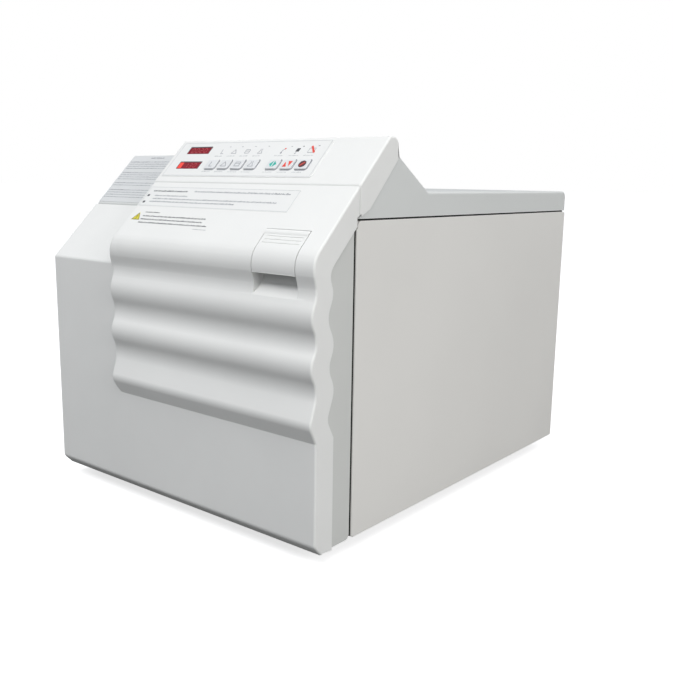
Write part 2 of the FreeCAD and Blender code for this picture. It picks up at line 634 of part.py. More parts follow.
def chamber_flange():
    return tube((CHAMBER_X, FLANGE_FRONT, CHAMBER_Z), AXIS_Y, FLANGE_RADIUS, CHAMBER_BORE, 3.0).fuse(
        tube((CHAMBER_X, FLANGE_FRONT, CHAMBER_Z), AXIS_Y, FLANGE_RADIUS - 5,
             CHAMBER_BORE, CHAMBER_FRONT - FLANGE_FRONT)).removeSplitter()


def chamber_insulation():
    """Blanket around the vessel and over its back."""
    back = CHAMBER_FRONT + CHAMBER_DEPTH
    sleeve = rod((CHAMBER_X, CHAMBER_FRONT + 2, CHAMBER_Z), AXIS_Y, INSULATION_RADIUS, CHAMBER_DEPTH + 8)
    bore_radius = CHAMBER_BORE + CHAMBER_WALL + 0.2
    bore = rod((CHAMBER_X, CHAMBER_FRONT, CHAMBER_Z), AXIS_Y, bore_radius, CHAMBER_DEPTH + 0.2)
    holes = [rod((CHAMBER_X + x, back - 20, ELEMENT_Z), AXIS_Y, 9.0, 40) for x in (-ELEMENT_X, ELEMENT_X)]
    probe = rod((CHAMBER_X, back - 20, CHAMBER_Z + 100), AXIS_Y, 5.0, 40)
    return cut(sleeve, bore, *holes, probe)


ELEMENT_X = 45.0
ELEMENT_Z = CHAMBER_Z - 119.0


def heating_element():
    """U-shaped tubular element on the chamber floor, with its two terminals at the back."""
    back = CHAMBER_FRONT + CHAMBER_DEPTH + 16
    left, right = CHAMBER_X - ELEMENT_X, CHAMBER_X + ELEMENT_X
    route = [(left, back, ELEMENT_Z), (left, 60, ELEMENT_Z), (right, 60, ELEMENT_Z), (right, back, ELEMENT_Z)]
    terminals = [rod((x, back, ELEMENT_Z), AXIS_Y, 1.8, 10) for x in (left, right)]
    return fuse(pipe(route, 3.8, 30.0), *terminals)


def chamber_saddles():
    """Two cradles that carry the insulated chamber on the floor tray."""
    saddles = []
    for y in (70.0, 370.0):
        web = box((CHAMBER_X - 95, CHAMBER_X + 95), (y, y + 2), (6.1, 62))
        foot = box((CHAMBER_X - 95, CHAMBER_X + 95), (y, y + 16), (4.1, 6.1))
        hollow = rod((CHAMBER_X, y - 2, CHAMBER_Z), AXIS_Y, INSULATION_RADIUS + 0.3, 22)
        saddles.append(cut(fuse(web, foot), hollow))
    return Part.makeCompound(saddles)


TRAY_FLOORS = (-85.0, -45.0, -5.0, 35.0)   # above the chamber's axis
TRAY_HALF = 94.0
TRAY_Y = (34.0, 415.0)
TRAY_DEPTH = 18.0
RACK_HALF = 98.0
RACK_TOP = 65.0


def tray(floor):
    """Perforated instrument tray with a rolled rim."""
    z = CHAMBER_Z + floor
    wall = 1.2
    xs = (CHAMBER_X - TRAY_HALF, CHAMBER_X + TRAY_HALF)
    outer = rounded_block(xs, TRAY_Y, (z, z + TRAY_DEPTH), 12)
    inner_xs = (xs[0] + wall, xs[1] - wall)
    inner_ys = (TRAY_Y[0] + wall, TRAY_Y[1] - wall)
    inner = rounded_block(inner_xs, inner_ys, (z + wall, z + 30), 11)
    holes = []
    for row in range(9):
        for column in range(5):
            x = CHAMBER_X + (column - 2) * 34
            y = (TRAY_Y[0] + TRAY_Y[1]) / 2 + (row - 4) * 40
            holes.append(rod((x, y, z - 1), AXIS_Z, 4.0, 4))
    return cut(outer, inner, *holes)


def tray_rack():
    """Open rack: two slotted side plates with a ledge under each tray, and the cross-bars
    and legs between them at both ends."""
    ys = (40.0, 409.0)
    low = CHAMBER_Z - 91
    high = CHAMBER_Z + RACK_TOP
    sheet = 2.0
    reach = RACK_HALF - sheet
    solids = []
    for side in (-1, 1):
        edge = CHAMBER_X + side * (RACK_HALF - sheet / 2)
        side_plate = box((edge - sheet / 2, edge + sheet / 2), ys, (low, high))
        windows = []
        ledges = []
        for floor in TRAY_FLOORS:
            z = CHAMBER_Z + floor
            inner = edge - side * 14
            ledges.append(box((min(edge, inner), max(edge, inner)), ys, (z - 1.6, z - 0.1)))
            for column in range(6):
                y = ys[0] + 12 + column * 59
                windows.append(box((edge - sheet, edge + sheet), (y, y + 48), (z + 3, z + 27)))
        solids.append(fuse(side_plate.cut(windows), *ledges))
    for y in (ys[0] + 20, ys[1] - 24):
        bar = box((CHAMBER_X - reach, CHAMBER_X + reach), (y, y + 4), (low, low + 4))
        legs = [box((CHAMBER_X + x - 3, CHAMBER_X + x + 3), (y, y + 4), (CHAMBER_Z - 119.5, low + 3))
                for x in (-68, 68)]
        solids.append(fuse(bar, *legs))
        solids.append(box((CHAMBER_X - reach, CHAMBER_X + reach), (y, y + 4), (high - 2, high)))
    return Part.makeCompound(solids)


# ---------------------------------------------------------------- water, steam and power
TANK_X = (-214.0, -108.0)
TANK_Y = (266.0, 484.0)
TANK_Z = (130.0, 330.0)


def water_reservoir():
    """Moulded tank with its filler neck under the hood."""
    outer = rounded_block(TANK_X, TANK_Y, TANK_Z, 10)
    inner = rounded_block((TANK_X[0] + 3, TANK_X[1] - 3), (TANK_Y[0] + 3, TANK_Y[1] - 3),
                          (TANK_Z[0] + 3, TANK_Z[1] - 3), 7)
    neck = rod((CAP_X, CAP_Y, TANK_Z[1] - 3), AXIS_Z, 23.5, 36)
    neck_bore = rod((CAP_X, CAP_Y, TANK_Z[1] - 5), AXIS_Z, 20.5, 50)
    lug = rod((CAP_X, CAP_Y, 345), AXIS_Z, 25.5, 3)
    return cut(fuse(outer, neck, lug), inner, neck_bore)


def reservoir_cap():
    """Round cap, flush with the roof, with a sunk grip bar."""
    body = rod((CAP_X, CAP_Y, 350), AXIS_Z, CAP_RADIUS, ROOF - 0.4 - 350)
    hollow = rod((CAP_X, CAP_Y, 349), AXIS_Z, 24.2, 16)
    dish = rod((CAP_X, CAP_Y, ROOF - 6.4), AXIS_Z, 23.5, 10)
    bar = box((CAP_X - 23.8, CAP_X + 23.8), (CAP_Y - 3, CAP_Y + 3), (ROOF - 6.5, ROOF - 1.0))
    return fuse(cut(body, hollow, dish), bar)


def transformer():
    """Control transformer: laminated core, windings and mounting feet."""
    core = box((-192, -124), (70, 128), (14, 70)).cut([
        box((-180, -166), (60, 140), (26, 58)), box((-150, -136), (60, 140), (26, 58))])
    coil = rounded_block((-181, -135), (60, 138), (26.5, 57.5), 6)
    feet = [box((-196, -120), (y, y + 10), (4.1, 14)) for y in (76, 112)]
    return fuse(core, coil, *feet)


def control_board():
    """Main circuit board on standoffs beside the left panel, with its larger components."""
    xs = (-212.0, -210.4)
    parts = [box(xs, (40, 230), (90, 310))]
    for y in (48, 222):
        for z in (98, 302):
            parts.append(rod((-219.0, y, z), AXIS_X, 3, 7.5))
    for i in range(3):
        parts.append(box((-210.5, -192), (60 + 34 * i, 84 + 34 * i), (110, 138)))
    for i in range(4):
        parts.append(rod((-210.5, 60 + 26 * i, 175), AXIS_X, 8, 24))
    for i in range(2):
        parts.append(box((-210.5, -206), (60 + 70 * i, 110 + 70 * i), (215, 235)))
    parts.append(box((-210.5, -186), (60, 76), (262, 300)))
    parts.append(box((-210.5, -202), (180, 216), (262, 300)))
    return fuse(*parts)


def solenoid_valve(x, y, z):
    """Two-way valve: brass body on its bracket and a round coil on top."""
    body = box((x - 14, x + 14), (y - 14, y + 14), (z, z + 22))
    ports = rod((x, y - 24, z + 11), AXIS_Y, 6.5, 48)
    stem = rod((x, y, z + 20), AXIS_Z, 6, 40)
    coil = rod((x, y, z + 24), AXIS_Z, 17, 28)
    bracket = box((x - 16, x + 16), (y - 12, y + 12), (4.1, z + 1))
    return fuse(body, ports, stem, coil, bracket)


FILL_VALVE = (-140.0, 185.0, 12.0)
VENT_VALVE = (-186.0, 185.0, 12.0)


def copper_lines():
    """Fill line from the tank to the chamber floor, and vent line back to the tank."""
    x, y, z = FILL_VALVE
    z = z + 11
    supply = pipe([(x, y + 24.2, z), (x, y + 110, z), (x, y + 110, TANK_Z[0] - 0.2)], 3.2, 14)
    feed = pipe([(x, y - 24.2, z), (x, y - 44, z), (-96, y - 44, z), (-96, y - 20, z),
                 (-30, y - 20, 10), (CHAMBER_X, y - 20, 10), (CHAMBER_X, y - 20, 22)], 3.2, 8)
    x = VENT_VALVE[0]
    exhaust = pipe([(x, y + 24.2, z), (x, y + 95, z), (x, y + 95, TANK_Z[0] - 0.2)], 3.2, 14)
    return Part.makeCompound([supply, feed, exhaust])


def air_bellows():
    """Thermostatic air trap on the back of the chamber."""
    y = CHAMBER_FRONT + CHAMBER_DEPTH + 10.2
    z = CHAMBER_Z + 100
    body = rod((CHAMBER_X, y, z), AXIS_Y, 12, 22)
    rings = [rod((CHAMBER_X, y + 4 + 6 * i, z), AXIS_Y, 14, 3) for i in range(3)]
    probe = rod((CHAMBER_X, y - 60, z), AXIS_Y, 3.0, 70)
    return fuse(body, probe, *rings)


def relief_valve():
    """Safety valve body through the rear panel."""
    hexagon = Part.makePolygon([V(RELIEF_X + 12 * math.cos(math.radians(a)), 0,
                                  RELIEF_Z + 12 * math.sin(math.radians(a))) for a in range(0, 361, 60)])
    nut = Part.Face(hexagon).extrude(V(0, 8, 0)).translate(V(0, REAR_PLANE - 12, 0))
    body = rod((RELIEF_X, REAR_PLANE - 36, RELIEF_Z), AXIS_Y, 8.0, 38)
    bore = rod((RELIEF_X, REAR_PLANE - 8, RELIEF_Z), AXIS_Y, 3.1, 12)
    return cut(fuse(body, nut), bore)


def relief_ring():
    """Pull ring and stem of the safety valve."""
    stem = rod((RELIEF_X, REAR_PLANE - 6, RELIEF_Z), AXIS_Y, 2.8, 9.5)
    hoop = Part.makeTorus(8.0, 1.1, V(RELIEF_X, REAR_PLANE + 4.0, RELIEF_Z - 8.0), AXIS_Y)
    return fuse(stem, hoop)


def power_inlet():
    """Mains inlet with its flange, socket well and three blades."""
    flange = rounded_slot_plate(INLET_X, INLET_Z, 50, 25, REAR_PLANE, 2.5)

    def centred(half_x, y0, y1, half_z, x=INLET_X, z=INLET_Z):
        return box((x - half_x, x + half_x), (REAR_PLANE + y0, REAR_PLANE + y1), (z - half_z, z + half_z))

    shell = centred(14, -24, 1, 11.5)
    well = centred(12, -16, 5, 9)
    core = centred(9.5, -16.5, -12, 6.5)
    blades = [centred(1, -17, -1, 3, INLET_X + x, INLET_Z + z)
              for x, z in ((-6.5, -1.5), (0, 2.5), (6.5, -1.5))]
    return fuse(cut(fuse(flange, shell), well), core, *blades)


def rounded_slot_plate(x, z, width, height, y, thickness):
    """Upright plate with round corners on the outer face of the rear panel."""
    base = rounded_block((x - width / 2, x + width / 2), (z - height / 2, z + height / 2), (0, thickness), 6)
    base.Placement = FreeCAD.Placement(V(0, y + thickness, 0), FreeCAD.Rotation(AXIS_X, 90))
    return base


def circuit_breakers():
    """Two thermal breakers, each with a threaded collar and ring nut."""
    breakers = []
    for z in BREAKERS_Z:
        depth = (REAR_PLANE - 34, REAR_PLANE - SHEET - 0.1)
        body = box((INLET_X - 14, INLET_X + 14), depth, (z - 11, z + 11))
        collar = rod((INLET_X, REAR_PLANE - 5, z), AXIS_Y, 7.0, 9)
        nut = rod((INLET_X, REAR_PLANE + 0.1, z), AXIS_Y, 9.5, 2.6)
        bore = rod((INLET_X, REAR_PLANE - 12, z), AXIS_Y, 4.3, 30)
        breakers.append(cut(fuse(body, collar, nut), bore))
    return Part.makeCompound(breakers)


def breaker_button(z):
    return rod((INLET_X, REAR_PLANE - 5, z), AXIS_Y, 4.0, 13)


def fan_frame():
    """Square fan frame with its motor bridge."""
    depth = (REAR_PLANE - SHEET - 25.2, REAR_PLANE - SHEET - 0.2)
    block = box((FAN_X - 40, FAN_X + 40), depth, (FAN_Z - 40, FAN_Z + 40))
    tunnel = rod((FAN_X, depth[0] - 1, FAN_Z), AXIS_Y, 37.5, 30)
    bridge = rod((FAN_X, depth[0], FAN_Z), AXIS_Y, 13, 3)
    arms = box((FAN_X - 39, FAN_X + 39), (depth[0], depth[0] + 2.5), (FAN_Z - 2.5, FAN_Z + 2.5))
    shaft = rod((FAN_X, depth[0], FAN_Z), AXIS_Y, 1.5, 20)
    return fuse(block.cut(tunnel), bridge, arms, shaft)


def fan_rotor():
    """Hub and seven pitched blades, turning on the frame's shaft."""
    y0 = REAR_PLANE - SHEET - 21.5
    hub = rod((FAN_X, y0, FAN_Z), AXIS_Y, 14, 18)
    blades = []
    for i in range(7):
        blade = box((-5, 5), (-0.8, 0.8), (12, 36))
        blade.rotate(V(0, 0, 0), AXIS_Z, 38)
        blade.translate(V(0, y0 + 9, 0))
        blade.rotate(V(0, 0, 0), AXIS_Y, i * 360 / 7)
        blade.translate(V(FAN_X, 0, FAN_Z))
        blades.append(blade)
    return fuse(hub, *blades).cut(rod((FAN_X, y0 - 1, FAN_Z), AXIS_Y, 1.55, 17.5))


DRAIN_X = -165.0
DRAIN_Z = (52.0, 300.0)


def drain_tube():
    """Clear level and drain tube on the front of the bulkhead."""
    low, high = DRAIN_Z
    y = 4.2
    return pipe([(DRAIN_X, 24, low), (DRAIN_X, y, low), (DRAIN_X, y, high), (DRAIN_X, 24, high)], 3.0, 5.0)


def case_screws():
    """Pan-head screws of the rear panel and the four foot screws."""
    screws = []
    for x in (-212, -112, 62, 212):
        for z in (32, 335):
            head = rod((x, REAR_PLANE, z), AXIS_Y, 3.6, 2.2)
            slot = box((x - 3, x + 3), (REAR_PLANE + 1.2, REAR_PLANE + 3), (z - 0.5, z + 0.5))
            screws.append(cut(head, slot))
    for x, y in FEET_XY:
        head = rod((x, y, -FOOT_HEIGHT + 5), AXIS_Z, 5.0, 3.0)
        screws.append(head)
    return Part.makeCompound(screws)


# ---------------------------------------------------------------- write every piece
right_panel = side_panel()
pieces = {
    "base_pan": base_pan(),
    "rubber_feet": rubber_feet(),
    "side_panel_right": right_panel,
    "side_panel_left": mirrored(right_panel),
    "rear_panel": rear_panel(),
    "case_screws": case_screws(),
    "top_cover": top_cover(),
    "information_plate": information_plate(),
    "front_bulkhead": front_bulkhead(),
    "hinge_arms": hinge_arms(),
    "latch_striker": latch_striker(),
    "chamber_vessel": chamber_vessel(),
    "chamber_flange": chamber_flange(),
    "chamber_insulation": chamber_insulation(),
    "chamber_saddles": chamber_saddles(),
    "heating_element": heating_element(),
    "tray_rack": tray_rack(),
    "water_reservoir": water_reservoir(),
    "reservoir_cap": reservoir_cap(),
    "transformer": transformer(),
    "control_board": control_board(),
    "fill_valve": solenoid_valve(*FILL_VALVE),
    "vent_valve": solenoid_valve(*VENT_VALVE),
    "copper_lines": copper_lines(),
    "air_bellows": air_bellows(),
    "relief_valve": relief_valve(),
    "relief_ring": relief_ring(),
    "power_inlet": power_inlet(),
    "circuit_breakers": circuit_breakers(),
    "fan_frame": fan_frame(),
    "fan_rotor": fan_rotor(),
    "drain_tube": drain_tube(),
    "control_housing": control_housing(),
    "keypad_overlay": keypad_overlay(),
    "display_board": display_board(),
    "lower_display_window": display_window(DISPLAYS_S[0]),
    "upper_display_window": display_window(DISPLAYS_S[1]),
    "door_cover": door_cover(),
    "door_frame": door_frame(),
    "door_plate": door_plate(),
    "door_gasket": door_gasket(),
    "door_yoke": door_yoke(),
    "door_pins": door_pins(),
    "latch_pocket": latch_pocket(),
    "latch_handle": latch_handle(),
    "latch_hook": latch_hook(),
}
for number, floor in enumerate(TRAY_FLOORS, start=1):
    pieces["tray_%d" % number] = tray(floor)
for number, z in enumerate(BREAKERS_Z, start=1):
    pieces["breaker_button_%d" % number] = breaker_button(z)
for name, x in key_positions():
    pieces[name] = key(x)

for name, shape in pieces.items():
    save(name, shape)
    box_size = shape.BoundBox
    print("%-22s solids %d valid %s volume %9.0f size %.0f x %.0f x %.0f" % (
        name, len(shape.Solids), shape.isValid(), shape.Volume,
        box_size.XLength, box_size.YLength, box_size.ZLength))
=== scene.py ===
"""Benchtop steam autoclave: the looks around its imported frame.

The helpers take millimetres on the door's datum: X = 0 in the middle, Y = 0 on the parting
plane behind the door, Z = 0 at the cabinet's lower edge. The front faces -Y.
"""
import math
import random

import bmesh
import bpy
from mathutils import Matrix, Vector


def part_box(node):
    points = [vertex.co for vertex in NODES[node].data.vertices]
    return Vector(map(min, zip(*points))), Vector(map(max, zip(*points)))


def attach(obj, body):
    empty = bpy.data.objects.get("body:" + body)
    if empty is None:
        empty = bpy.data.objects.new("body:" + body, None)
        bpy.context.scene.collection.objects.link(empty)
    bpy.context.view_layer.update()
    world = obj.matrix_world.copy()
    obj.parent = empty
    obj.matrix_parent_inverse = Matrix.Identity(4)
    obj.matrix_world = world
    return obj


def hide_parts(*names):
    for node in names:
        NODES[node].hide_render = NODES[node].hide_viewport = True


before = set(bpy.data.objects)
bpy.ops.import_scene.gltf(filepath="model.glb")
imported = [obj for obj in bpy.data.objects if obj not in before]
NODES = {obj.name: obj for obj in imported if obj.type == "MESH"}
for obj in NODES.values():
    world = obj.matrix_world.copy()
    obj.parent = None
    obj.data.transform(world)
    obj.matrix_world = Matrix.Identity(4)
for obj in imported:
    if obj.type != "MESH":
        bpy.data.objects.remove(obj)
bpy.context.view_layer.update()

MM = 0.001
COVER_LOW, COVER_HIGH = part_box("door_cover")
PARTING_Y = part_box("door_frame")[1][1]
DATUM = Vector((0.0, PARTING_Y, COVER_LOW[2]))
HALF = COVER_HIGH[0] / MM                # half width over the door cover


def at(x, y, z):
    """Point of the frame for millimetres on the door's datum."""
    return Vector((x, y, z)) * MM + DATUM


# ---------------------------------------------------------------- camera, light and floor
CAMERA_PLACE = (738.04, -667.03, 383.87)
CAMERA_RIGHT = Vector((0.77654, 0.62989, 0.01475))
CAMERA_AHEAD = Vector((-0.61684, 0.76480, -0.18598))
CAMERA_LENS = 44.08
FLOOR_HALF = 40.0
LIGHT_TARGET = Vector((0.0, 0.0, 0.2))
LIGHTS = (                      # name, place in metres, size, power, colour
    ("key", (1.5, -0.85, 2.7), 1.5, 15.0, (1.0, 0.985, 0.96)),
    ("front", (-0.25, -1.9, 2.3), 1.2, 30.0, (0.985, 0.99, 1.0)),
    ("side", (2.8, -0.45, 1.1), 1.4, 30.0, (1.0, 0.985, 0.965)),
)
DOME_LOW, DOME_MIDDLE, DOME_TOP = (0.14, 0.14, 0.145), (0.44, 0.452, 0.47), (0.56, 0.575, 0.60)


def make_camera():
    data = bpy.data.cameras.new("camera")
    data.lens = CAMERA_LENS
    data.sensor_width = 36.0
    data.clip_start = 0.01
    camera = bpy.data.objects.new("camera", data)
    bpy.context.scene.collection.objects.link(camera)
    right = CAMERA_RIGHT.normalized()
    back = -CAMERA_AHEAD.normalized()
    up = back.cross(right).normalized()
    right = up.cross(back)
    turn = Matrix((right, up, back)).transposed().to_4x4()
    camera.matrix_world = Matrix.Translation(at(*CAMERA_PLACE)) @ turn
    bpy.context.scene.camera = camera


def area_light(name, place, size, power, colour):
    data = bpy.data.lights.new(name, "AREA")
    data.shape = "DISK"
    data.size = size
    data.energy = power
    data.color = colour
    light = bpy.data.objects.new(name, data)
    light.location = place
    light.rotation_mode = "QUATERNION"
    light.rotation_quaternion = (LIGHT_TARGET - Vector(place)).to_track_quat("-Z", "Y")
    bpy.context.scene.collection.objects.link(light)


def make_world():
    """Soft studio dome: bright above, dimmer towards the floor, plain white behind."""
    world = bpy.data.worlds.new("studio")
    bpy.context.scene.world = world
    world.use_nodes = True
    tree = world.node_tree
    nodes, links = tree.nodes, tree.links
    nodes.clear()
    output = nodes.new("ShaderNodeOutputWorld")
    mix = nodes.new("ShaderNodeMixShader")
    dome = nodes.new("ShaderNodeBackground")
    plain = nodes.new("ShaderNodeBackground")
    ramp = nodes.new("ShaderNodeValToRGB")
    split = nodes.new("ShaderNodeSeparateXYZ")
    where = nodes.new("ShaderNodeTexCoord")
    seen = nodes.new("ShaderNodeLightPath")
    spread = nodes.new("ShaderNodeMapRange")
    spread.inputs["From Min"].default_value = -1.0
    links.new(where.outputs["Generated"], split.inputs[0])
    links.new(split.outputs["Z"], spread.inputs["Value"])
    links.new(spread.outputs[0], ramp.inputs["Fac"])
    links.new(ramp.outputs["Color"], dome.inputs["Color"])
    stops = ramp.color_ramp.elements
    stops[0].position, stops[0].color = 0.44, (*DOME_LOW, 1)
    stops[1].position, stops[1].color = 1.0, (*DOME_TOP, 1)
    middle = stops.new(0.56)
    middle.color = (*DOME_MIDDLE, 1)
    plain.inputs["Color"].default_value = (1, 1, 1, 1)
    links.new(seen.outputs["Is Camera Ray"], mix.inputs["Fac"])
    links.new(dome.outputs[0], mix.inputs[1])
    links.new(plain.outputs[0], mix.inputs[2])
    links.new(mix.outputs[0], output.inputs["Surface"])


def make_floor():
    """Pale floor that throws back only part of the light, as a floor does beyond the table."""
    bm = bmesh.new()
    corners = [(-1, -1), (1, -1), (1, 1), (-1, 1)]
    bm.faces.new([bm.verts.new((x * FLOOR_HALF, y * FLOOR_HALF, 0.0)) for x, y in corners])
    mesh = bpy.data.meshes.new("floor")
    bm.to_mesh(mesh)
    bm.free()
    floor = bpy.data.objects.new("floor", mesh)
    bpy.context.scene.collection.objects.link(floor)
    paper = bpy.data.materials.new("floor_paper")
    paper.use_nodes = True
    nodes, links = paper.node_tree.nodes, paper.node_tree.links
    nodes.clear()
    output = nodes.new("ShaderNodeOutputMaterial")
    mix = nodes.new("ShaderNodeMixShader")
    pale = nodes.new("ShaderNodeAddShader")
    lit = nodes.new("ShaderNodeBsdfDiffuse")
    glow = nodes.new("ShaderNodeEmission")
    dim = nodes.new("ShaderNodeBsdfDiffuse")
    seen = nodes.new("ShaderNodeLightPath")
    lit.inputs["Color"].default_value = (0.75, 0.75, 0.75, 1)
    glow.inputs["Color"].default_value = (0.68, 0.68, 0.68, 1)
    links.new(lit.outputs[0], pale.inputs[0])
    links.new(glow.outputs[0], pale.inputs[1])
    dim.inputs["Color"].default_value = (0.18, 0.18, 0.178, 1)
    links.new(seen.outputs["Is Camera Ray"], mix.inputs["Fac"])
    links.new(dim.outputs[0], mix.inputs[1])
    links.new(pale.outputs[0], mix.inputs[2])
    links.new(mix.outputs[0], output.inputs["Surface"])
    mesh.materials.append(paper)


make_camera()
make_world()
make_floor()
bpy.context.scene.view_settings.view_transform = "Standard"
for lamp in LIGHTS:
    area_light(*lamp)


# ---------------------------------------------------------------- finishes
def finish(name, colour, roughness, **sockets):
    """Principled material whose even values sit on the shader's own sockets."""
    made = bpy.data.materials.new(name)
    made.use_nodes = True
    shader = made.node_tree.nodes["Principled BSDF"]
    shader.inputs["Base Color"].default_value = (*colour, 1)
    shader.inputs["Roughness"].default_value = roughness
    for key, value in sockets.items():
        shader.inputs[key.replace("_", " ").title().replace("Ior", "IOR")].default_value = value
    return made


def pattern(made, kind, scale, stretch=(1, 1, 1), **settings):
    """Procedural texture in frame coordinates; gives its node."""
    nodes, links = made.node_tree.nodes, made.node_tree.links
    where = nodes.new("ShaderNodeTexCoord")
    mapping = nodes.new("ShaderNodeMapping")
    mapping.inputs["Scale"].default_value = stretch
    texture = nodes.new("ShaderNodeTex" + kind)
    texture.inputs["Scale"].default_value = scale
    for key, value in settings.items():
        texture.inputs[key.title()].default_value = value
    links.new(where.outputs["Object"], mapping.inputs["Vector"])
    links.new(mapping.outputs["Vector"], texture.inputs["Vector"])
    return texture


def noise(made, scale, stretch=(1, 1, 1), **settings):
    """Value of a noise texture."""
    return pattern(made, "Noise", scale, stretch, **settings).outputs[0]


def mottle(made, source, dark, light, low=0.3, high=0.7):
    """Colour that wanders between two tones with a pattern."""
    nodes, links = made.node_tree.nodes, made.node_tree.links
    ramp = nodes.new("ShaderNodeValToRGB")
    stops = ramp.color_ramp.elements
    stops[0].position, stops[0].color = low, (*dark, 1)
    stops[1].position, stops[1].color = high, (*light, 1)
    links.new(source, ramp.inputs["Fac"])
    links.new(ramp.outputs["Color"], nodes["Principled BSDF"].inputs["Base Color"])


def shine(made, source, low, high):
    """Roughness that wanders between two values with a pattern."""
    nodes, links = made.node_tree.nodes, made.node_tree.links
    spread = nodes.new("ShaderNodeMapRange")
    spread.inputs["From Min"].default_value = 0.3
    spread.inputs["From Max"].default_value = 0.7
    spread.inputs["To Min"].default_value = low
    spread.inputs["To Max"].default_value = high
    links.new(source, spread.inputs["Value"])
    links.new(spread.outputs[0], nodes["Principled BSDF"].inputs["Roughness"])


def relief(made, source, depth, strength=1.0):
    """Surface relief from a pattern, its depth in metres; several calls add up."""
    nodes, links = made.node_tree.nodes, made.node_tree.links
    bump = nodes.new("ShaderNodeBump")
    bump.inputs["Distance"].default_value = depth
    bump.inputs["Strength"].default_value = strength
    normal = nodes["Principled BSDF"].inputs["Normal"]
    if normal.links:
        links.new(normal.links[0].from_socket, bump.inputs["Normal"])
    links.new(source, bump.inputs["Height"])
    links.new(bump.outputs["Normal"], normal)


def zones(made, axis, stops):
    """Bands of plain colour along an axis: (millimetres on the datum, colour), low to high."""
    nodes, links = made.node_tree.nodes, made.node_tree.links
    where = nodes.new("ShaderNodeTexCoord")
    split = nodes.new("ShaderNodeSeparateXYZ")
    spread = nodes.new("ShaderNodeMapRange")
    ramp = nodes.new("ShaderNodeValToRGB")
    ramp.color_ramp.interpolation = "CONSTANT"
    spread.inputs["From Min"].default_value = -0.5
    spread.inputs["From Max"].default_value = 0.5
    links.new(where.outputs["Object"], split.inputs[0])
    links.new(split.outputs[axis], spread.inputs["Value"])
    links.new(spread.outputs[0], ramp.inputs["Fac"])
    elements = ramp.color_ramp.elements
    elements[0].position, elements[0].color = 0.0, (*stops[0][1], 1)
    elements.remove(elements[1])
    for place, colour in stops[1:]:
        element = elements.new(place * MM + DATUM["XYZ".index(axis)] + 0.5)
        element.color = (*colour, 1)
    links.new(ramp.outputs["Color"], nodes["Principled BSDF"].inputs["Base Color"])


ORANGE_PEEL = 260.0             # scale of the powder coat's relief


def shaded(colour, factor):
    return tuple(channel * factor for channel in colour)


def moulded(name, colour, low, high, grain=1100.0, depth=0.00002, wander=0.03, **sockets):
    """Moulded plastic: fine grain, faint drifts of tone and gloss."""
    made = finish(name, colour, low, **sockets)
    drift = noise(made, 7.0, detail=5.0, roughness=0.6)
    fine = noise(made, grain, detail=2.0)
    mottle(made, drift, shaded(colour, 1 - wander), shaded(colour, 1 + wander / 3))
    shine(made, noise(made, 38.0, detail=6.0), low, high)
    relief(made, fine, depth, 0.6)
    return made


def painted(name, colour, low, high):
    """Powder coat on sheet metal: orange peel over a slow waviness of the sheet."""
    made = finish(name, colour, low)
    drift = noise(made, 4.0, detail=3.0, roughness=0.5)
    mottle(made, drift, shaded(colour, 0.975), shaded(colour, 1.012), 0.32, 0.68)
    shine(made, noise(made, 60.0, detail=5.0), low, high)
    relief(made, noise(made, 9.0, detail=1.0), 0.0006, 0.25)
    relief(made, noise(made, ORANGE_PEEL, detail=2.5), 0.00003, 0.5)
    return made


def brushed(name, colour, low, high, stretch):
    """Metal with a grain of fine parallel scratches."""
    made = finish(name, colour, low, metallic=1.0)
    lines = noise(made, 340.0, stretch, detail=6.0, roughness=0.7)
    cloud = noise(made, 22.0, detail=4.0)
    mottle(made, cloud, shaded(colour, 0.86), colour, 0.3, 0.75)
    shine(made, lines, low, high)
    relief(made, lines, 0.00001, 0.5)
    return made


def plastic_finishes():
    return {
        "cover_plastic": moulded("moulded_white", (0.835, 0.84, 0.825), 0.46, 0.56,
                                 specular_ior_level=0.3),
        "key_plastic": moulded("key_white", (0.74, 0.755, 0.765), 0.30, 0.38, 1600.0),
        "frame_plastic": moulded("frame_grey", (0.655, 0.665, 0.645), 0.42, 0.52, 700.0),
        "cap_plastic": moulded("cap_grey", (0.30, 0.32, 0.335), 0.42, 0.55, 600.0, 0.00005),
        "black_plastic": moulded("black_moulded", (0.022, 0.022, 0.024), 0.38, 0.52,
                                 700.0, 0.00004, 0.25),
        "label_print": moulded("label_film", (0.815, 0.822, 0.812), 0.42, 0.50,
                               1800.0, 0.00001, 0.02),
        "plate_film": moulded("plate_film", (0.70, 0.715, 0.72), 0.30, 0.40, 1500.0, 0.00001, 0.03),
    }


